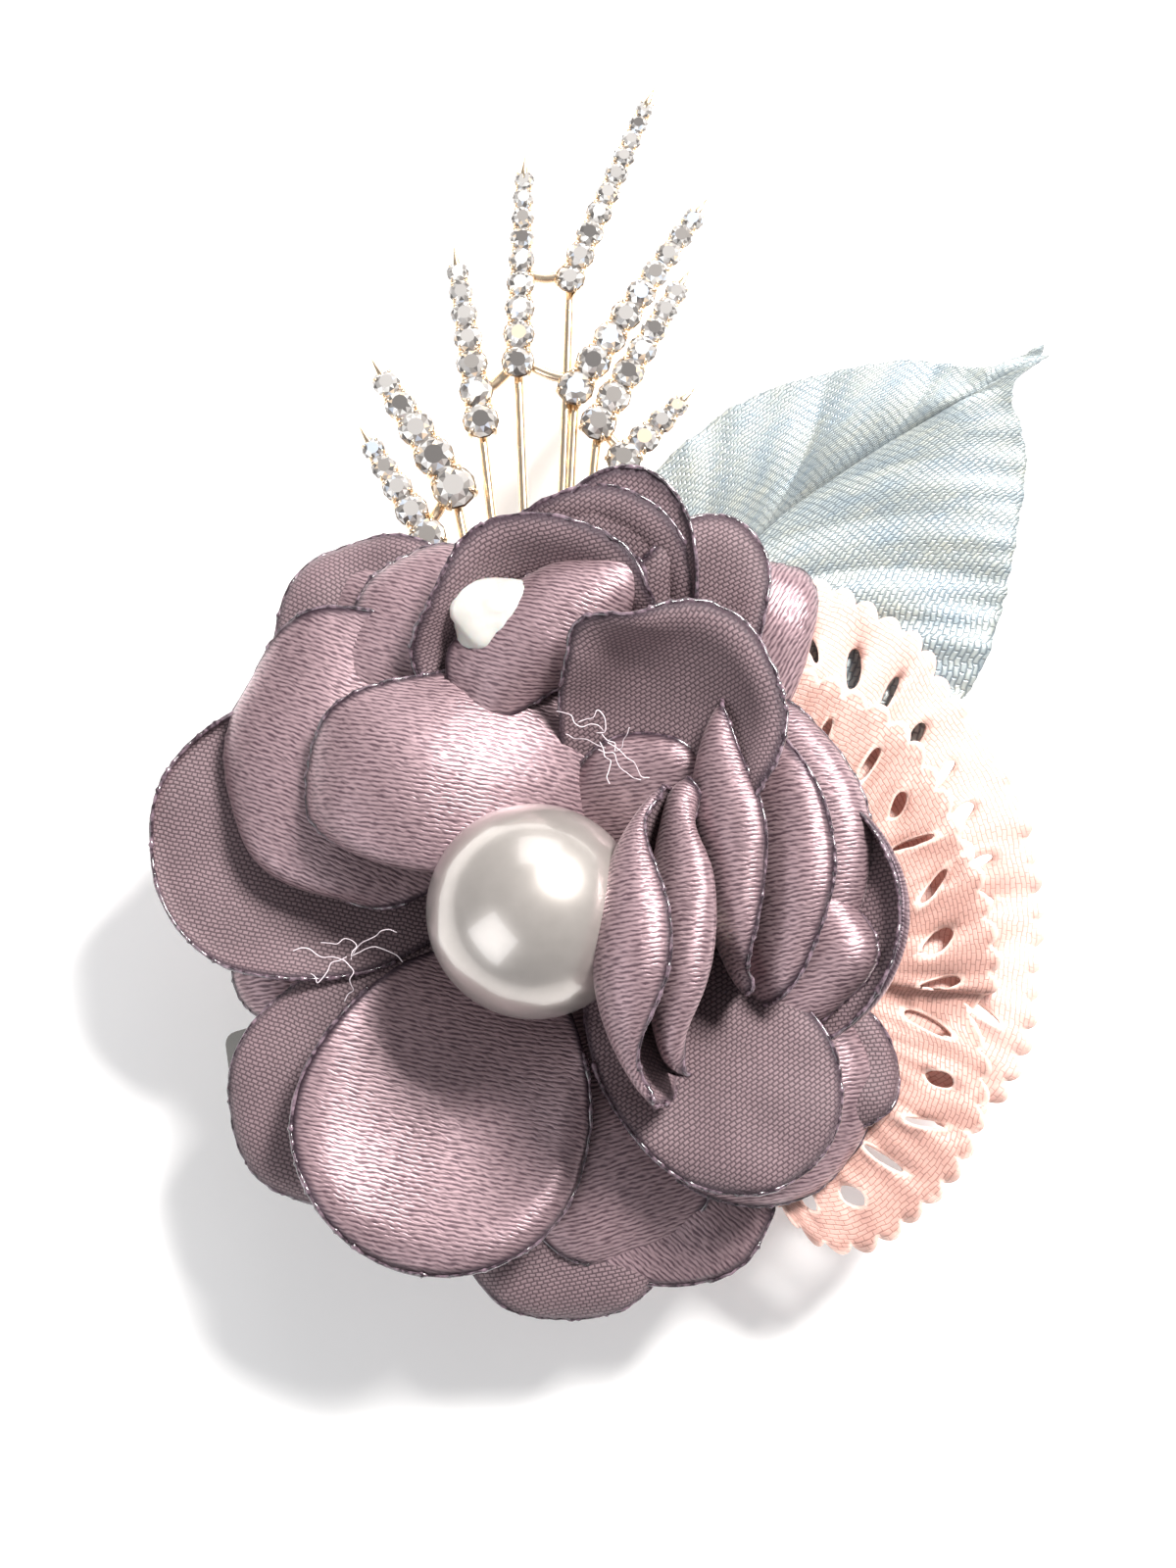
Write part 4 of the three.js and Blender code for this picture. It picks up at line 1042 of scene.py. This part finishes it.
def chaton(place, radius, turn):
    """A faceted round stone: table, star, crown and a stub of pavilion."""
    sides = 11
    # of the table, star, girdle and keel: share of the radius, height over it, and shift in facets
    rings = ((0.5, 0.42, 0.0), (0.8, 0.22, 0.5), (1.0, 0.0, 0.0), (0.55, -0.45, 0.5))
    points = []
    for share, height, shift in rings:
        for k in range(sides):
            a = turn + (k + shift) * 2 * math.pi / sides
            points.append(place + radius * np.array([share * math.cos(a), share * math.sin(a),
                                                     height]))
    table, star, girdle, keel = (sides * k for k in range(4))
    faces = [tuple(table + k for k in range(sides))]
    for k in range(sides):
        n = (k + 1) % sides
        faces += [(table + k, star + k, table + n), (star + k, star + n, table + n),
                  (star + k, girdle + n, star + n), (star + k, girdle + k, girdle + n),
                  (girdle + k, keel + k, girdle + n), (keel + k, keel + n, girdle + n)]
    faces.append(tuple(keel + k for k in range(sides - 1, -1, -1)))
    return np.array(points), faces


def cup(place, radius, direction):
    """A gold cup under a stone, with four prongs that hold its girdle."""
    parts = []
    line = [place - (0, 0, radius * h) for h in (0.95, 0.8, 0.3, 0.1)]
    parts.append(sweep(line, radius * np.array((0.6, 0.95, 1.13, 1.17)), 12))
    for k in range(4):
        a = math.atan2(direction[1], direction[0]) + math.pi / 4 + k * math.pi / 2
        out = np.array((math.cos(a), math.sin(a), 0.0))
        prong = [place + out * radius * r + (0, 0, radius * h)
                 for r, h in ((1.08, -0.7), (1.13, -0.1), (1.05, 0.12), (0.84, 0.28))]
        parts.append(sweep(prong, radius * np.array((0.16, 0.17, 0.15, 0.09)), 6))
    return parts


class HAIRCLIP_OT_branch(bpy.types.Operator):
    """Sets the crystal rows in their cups and solders them to the branch's wires"""

    bl_idname = "hairclip.branch"
    bl_label = "Crystal branch"

    def execute(self, context):
        settings = context.scene.hairclip_trimmings
        wire = settings.wire_radius / MM
        glass, gold = crystal(), gold_plate()
        rng = np.random.default_rng(7)
        metal, rows = [], []
        for index, count in enumerate(ROW_STONES):
            places, radii, direction = crystal_row(index)
            stones, tones = [], []
            for place, radius, wide in zip(places, radii,
                                           radii * np.linspace(GIRDLE, 1.18, count)):
                points, faces = chaton(place, wide, rng.uniform(0, 0.7))
                tilt = rng.uniform(-0.1, 0.1, 2)
                offset = points - place
                offset[:, 2] += offset[:, 0] * tilt[0] + offset[:, 1] * tilt[1]
                stones.append((place + offset, faces))
                # a random painted reflection tone for each facet of the stone
                tones.append(rng.beta(0.9, 0.9, len(faces)))
                metal += cup(place, radius, direction)
            points, faces = join_parts(stones)
            made = mesh_object(f"crystal_row_{index + 1}_stones", points, faces, [glass],
                               smooth=False, face_values={"facet_painted_reflection": np.concatenate(tones)})
            glued(made, "glass_crystal", f"crystal_row_{index + 1}")
            under = places - np.outer(radii, (0, 0, 0.85))
            metal.append(sweep(under, wire, 8))
            tip = places[-1] + direction * radii[-1]
            end = tip + direction * 1.25
            metal.append(sweep([tip - direction * 0.6, tip, tip + direction * 0.55, end],
                               np.array((0.34, 0.3, 0.16, 0.03)), 8))
            foot = under[0]
            bend = (BRANCH_ROOT + foot) / 2 + np.array((foot[0] - BRANCH_ROOT[0], 0, 0)) * 0.12
            metal.append(sweep(smooth_line([BRANCH_ROOT, bend, foot], 8), wire, 8))
            rows.append(under)
        for first, a, second, b in TIES:
            ends = [outline_place(rows[row], np.array(share)) for row, share in ((first, a),
                                                                                (second, b))]
            sag = (ends[0] + ends[1]) / 2 - (0, 0.35, 0)
            metal.append(sweep(smooth_line([ends[0], sag, ends[1]], 6), wire * 1.15, 8))
        points, faces = join_parts(metal)
        made = mesh_object("branch_cups_and_wires", points, faces, [gold])
        glued(made, "gold_plated_brass", "branch_frame")
        return {"FINISHED"}


# ---------------------------------------------------------------- clip, felt and glue
def torsion_spring_line():
    """The spring's middle line, fitted to its CAD box and turned with the clip."""
    hinge = frame["record"]["behaviour"]["joints"][0]
    pivot = np.array(hinge["pos_m"]) / MM
    pin = unit(-np.array(hinge["axis"]))  # along the pin, to the clip's left
    nose = np.array((pin[1], -pin[0], 0.0))
    low, high, _ = box_mm("clip_torsion_spring")
    wire, coil = 0.275, 1.215  # radii of the wire and of the coil's middle line
    pitch, turns, steps = 0.67, 4.5, 24  # steps are places on each turn
    end = turns * pitch / 2
    bottom, top = low[2] + wire - pivot[2], high[2] - wire - pivot[2]
    flat = [(-9, -end, bottom), (-5, -end, bottom + 0.1), (-1.4, -end, -coil - 0.06)]
    for i in range(int(turns * steps) + 1):
        a = -math.pi / 2 + 2 * math.pi * i / steps
        flat.append((coil * math.cos(a), -end + pitch * i / steps, coil * math.sin(a)))
    flat += [(-1.4, end, coil + 0.06), (-5, end, top - 0.2), (-9, end, top)]
    return np.array([pivot + nose * x + pin * y + np.array((0, 0, z)) for x, y, z in flat]), wire


def lathe(profile, sides, middle, roughen=0.0, scale=1.0):
    """A closed body of revolution about a vertical line; roughen displaces it with noise."""
    rings = np.array([[(r * math.cos(t), r * math.sin(t), z)
                       for t in np.arange(sides) * 2 * math.pi / sides] for r, z in profile])
    points = rings.reshape(-1, 3)
    if roughen:
        points = points + unit(points) * np.array(
            [[roughen * noise.noise(Vector(p) * scale)] for p in points])
    faces = [(i * sides + k, i * sides + (k + 1) % sides,
              (i + 1) * sides + (k + 1) % sides, (i + 1) * sides + k)
             for i in range(len(profile) - 1) for k in range(sides)]
    faces.append(tuple(range(sides - 1, -1, -1)))
    faces.append(tuple(range((len(profile) - 1) * sides, len(profile) * sides)))
    return points + middle, faces


def cad_finish(node, made):
    """Gives a CAD node that stays as it is a better material."""
    for slot in bpy.data.objects[node].material_slots:
        slot.material = made


class HAIRCLIP_OT_clip(bpy.types.Operator):
    """Finishes the clip's arms and pin and winds its spring"""

    bl_idname = "hairclip.clip"
    bl_label = "Pinch clip"

    def execute(self, context):
        nickel, steel = nickel_plate(), spring_steel()
        for node in ("clip_lower_arm", "clip_upper_arm"):
            cad_finish(node, nickel)
        cad_finish("clip_hinge_pin", steel)
        cad_finish("leaf_stem_wire", gold_plate())
        line, wire = torsion_spring_line()
        points, faces = sweep(line, wire, 12)
        spring = mesh_object("torsion_spring_wire", points, faces, [steel])
        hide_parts("clip_torsion_spring")
        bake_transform(spring)
        return {"FINISHED"}


class HAIRCLIP_OT_backing(bpy.types.Operator):
    """Cuts the felt disc and squeezes out the glue"""

    bl_idname = "hairclip.backing"
    bl_label = "Felt and glue"

    def execute(self, context):
        glue = hot_melt_glue()
        for node in ("glue_core", "adhesive_pad"):
            cad_finish(node, glue)
        low, high, middle = box_mm("felt_backing")
        radius, half = (high[0] - low[0]) / 2, (high[2] - low[2]) / 2
        profile = [(r, -half) for r in np.linspace(0.01, radius - 0.3, 18)]
        profile += [(radius - 0.3 + 0.3 * math.sin(a), -half * math.cos(a))
                    for a in np.linspace(0.3, math.pi - 0.3, 7)]
        profile += [(r, half) for r in np.linspace(radius - 0.3, 0.01, 18)]
        points, faces = lathe(profile, 120, middle, 0.14, 1.7)
        felt = mesh_object("felt_disc", points, faces, [pressed_felt()])
        glued(felt, "pressed_felt", "felt_backing")
        for node, seed, drop, spread in (
            ("glue_dab_upper", 3.1, (0.4, 1.9, -1.5), (1.7, 1.9, 1.15)),
            ("glue_dab_right", 8.7, (-0.2, 0, 1.5), (1.1, 1.4, 1.2)),
        ):
            low, high, middle = box_mm(node)
            profile = [(math.sin(a), -math.cos(a)) for a in np.linspace(0.02, math.pi - 0.02, 26)]
            points, faces = lathe(profile, 36, np.zeros(3))
            lumps = np.array([[1 + 0.2 * noise.noise(Vector(p) * 1.3 + Vector((seed, 0, 0)))
                               + 0.06 * noise.noise(Vector(p) * 4 + Vector((0, seed, 0)))]
                              for p in points])
            points = middle + drop + points * lumps * spread * (high - low) / 2
            dab = mesh_object(f"{node}_set", points, faces, [glue])
            glued(dab, "hot_melt_glue", node)
        return {"FINISHED"}


# ---------------------------------------------------------------- loose fibres
# Where each tuft of frayed fibres starts, from the flower's axis, and how many fibres it has.
TUFTS = [((4.3, 11.4, 21.5), 7), ((-12.4, -2.6, 17.2), 6), ((-11.2, 17.6, 17.4), 2)]


def loose_filament():
    """Polyester filaments pulled out of a cut edge: pale, fine and a little shiny."""
    made, tree, shader, _, colour = grained(
        "polyester_filament_loose", {"Scale": 800.0}, "#cbb7c0", "#efe6ea")
    feed(tree, shader, {"Base Color": colour, "Roughness": 0.35})
    return made


class HAIRCLIP_OT_fibres(bpy.types.Operator):
    """Pulls a few fibres out of the cut edges"""

    bl_idname = "hairclip.fibres"
    bl_label = "Loose fibres"

    def execute(self, context):
        rng = np.random.default_rng(21)
        strands = []
        for start, count in TUFTS:
            for _ in range(count):
                line = [AXIS + np.array(start) + rng.normal(0, 0.3, 3)]
                way = unit(rng.normal(0, 1, 3) * (1, 1, 0.25))
                for _ in range(7):
                    way = unit(way + rng.normal(0, 0.55, 3) * (1, 1, 0.3))
                    line.append(line[-1] + way * 0.55)
                strands.append(sweep(smooth_line(line, 5), 0.035, 4))
        points, faces = join_parts(strands)
        glued(mesh_object("frayed_fibres", points, faces, [loose_filament()]), "polyester_satin")
        return {"FINISHED"}


# ---------------------------------------------------------------- operators
class HAIRCLIP_OT_petals(bpy.types.Operator):
    """Cuts, singes and sets every satin petal"""

    bl_idname = "hairclip.petals"
    bl_label = "Satin petals"

    def execute(self, context):
        settings = context.scene.hairclip_flower
        satin, dull, melted = satin_face(settings), satin_back(settings), singed_rim()
        petals = [(ring, p) for ring, group in PETALS.items() for p in group]
        for index, (ring, p) in enumerate(petals):
            make_petal(ring, p, index, satin, dull, melted, settings)
        return {"FINISHED"}


class HAIRCLIP_OT_pearl(bpy.types.Operator):
    """Turns the drilled pearl bead"""

    bl_idname = "hairclip.pearl"
    bl_label = "Pearl"

    def execute(self, context):
        hole, depth = 0.65, 5.0  # radius and depth of the hole drilled from below
        start = math.asin(hole / PEARL_RADIUS)
        lower = -PEARL_RADIUS * math.cos(start)
        profile = [(0.001, lower + depth), (hole, lower + depth), (hole, lower + 0.15)]
        profile += [(PEARL_RADIUS * math.sin(a), -PEARL_RADIUS * math.cos(a))
                    for a in np.linspace(start * 1.15, math.pi - 0.001, 72)]
        points, faces = lathe(profile, 96, PEARL_CENTRE)
        made = mesh_object("pearl", points, faces, [pearl_lacquer()])
        glued(made, "pearl_coated_acrylic", "pearl_bead")
        return {"FINISHED"}


VIEW_MIDDLE = np.array((3.5, 9.3, 16.0))  # from the flower's axis


class HAIRCLIP_OT_stage(bpy.types.Operator):
    """Sets the camera, the lights and the pale floor"""

    bl_idname = "hairclip.stage"
    bl_label = "Stage"

    def execute(self, context):
        settings = context.scene.hairclip_stage
        paper, tree, shader, _, colour = grained(
            "paper_matt_white", {"Scale": 60.0, "Detail": 4.0}, "#f4f2f1", "#fbfafa")
        feed(tree, shader, {"Base Color": colour, "Roughness": 0.9,
                            "Emission Color": linear("#ffffff"), "Emission Strength": 0.14})
        reach, drop = 1500.0, -0.02
        corners = [(x * reach, y * reach, drop) for x, y in ((-1, -1), (1, -1), (1, 1), (-1, 1))]
        mesh_object("floor", corners, [(0, 1, 2, 3)], [paper])
        target = Vector(AXIS + VIEW_MIDDLE) * MM
        camera = bpy.data.objects.new("camera", bpy.data.cameras.new("camera"))
        camera.data.lens = settings.lens
        camera.data.sensor_width = 36
        camera.data.clip_start = 0.01
        back = Vector((0, -math.sin(settings.tilt), math.cos(settings.tilt)))
        camera.location = target + back * settings.distance
        camera.rotation_euler = (settings.tilt, 0, 0)
        context.scene.collection.objects.link(camera)
        context.scene.camera = camera
        for name, offset, size, power, tint in (
            ("key", (0.20, 0.22, 0.34), 0.12, settings.key_power * 5.5, (1.0, 0.985, 0.96)),
            ("fill", (-0.36, -0.28, 0.30), 0.40, settings.key_power * 1.5, (0.96, 0.98, 1.0)),
            ("rim", (0.05, 0.55, 0.30), 0.40, settings.key_power * 1.2, (1.0, 1.0, 1.0)),
        ):
            data = bpy.data.lights.new(name, "AREA")
            data.size, data.energy, data.color = size, power, tint
            light = bpy.data.objects.new(name, data)
            light.location = target + Vector(offset)
            light.rotation_euler = (-Vector(offset)).to_track_quat("-Z", "Y").to_euler()
            context.scene.collection.objects.link(light)
        world = bpy.data.worlds.new("studio")
        world.use_nodes = True
        feed(world.node_tree, world.node_tree.nodes["Background"],
             {"Color": linear("#f3f4f6"), "Strength": 0.36})
        context.scene.world = world
        context.scene.view_settings.view_transform = "Standard"
        return {"FINISHED"}


class HAIRCLIP_PT_panel(bpy.types.Panel):
    """Lists the steps that build the clip"""

    bl_idname = "HAIRCLIP_PT_panel"
    bl_label = "Flower hair clip"
    bl_space_type = "VIEW_3D"
    bl_region_type = "UI"
    bl_category = "Hair clip"

    def draw(self, context):
        for operator in OPERATORS:
            self.layout.operator(operator.bl_idname)


OPERATORS = (HAIRCLIP_OT_clip, HAIRCLIP_OT_backing, HAIRCLIP_OT_branch, HAIRCLIP_OT_leaf,
             HAIRCLIP_OT_rosette, HAIRCLIP_OT_petals, HAIRCLIP_OT_fibres, HAIRCLIP_OT_pearl,
             HAIRCLIP_OT_stage)
SETTINGS = {"hairclip_flower": FlowerSettings, "hairclip_trimmings": TrimmingSettings,
            "hairclip_stage": StageSettings}


def register():
    for made in (*SETTINGS.values(), *OPERATORS, HAIRCLIP_PT_panel):
        bpy.utils.register_class(made)
    for name, group in SETTINGS.items():
        setattr(bpy.types.Scene, name, PointerProperty(type=group))


def unregister():
    for name in SETTINGS:
        delattr(bpy.types.Scene, name)
    for made in reversed((*SETTINGS.values(), *OPERATORS, HAIRCLIP_PT_panel)):
        bpy.utils.unregister_class(made)


def main():
    register()
    for operator in OPERATORS:
        family, step = operator.bl_idname.split(".")
        getattr(getattr(bpy.ops, family), step)()


if __name__ == "__main__":
    main()
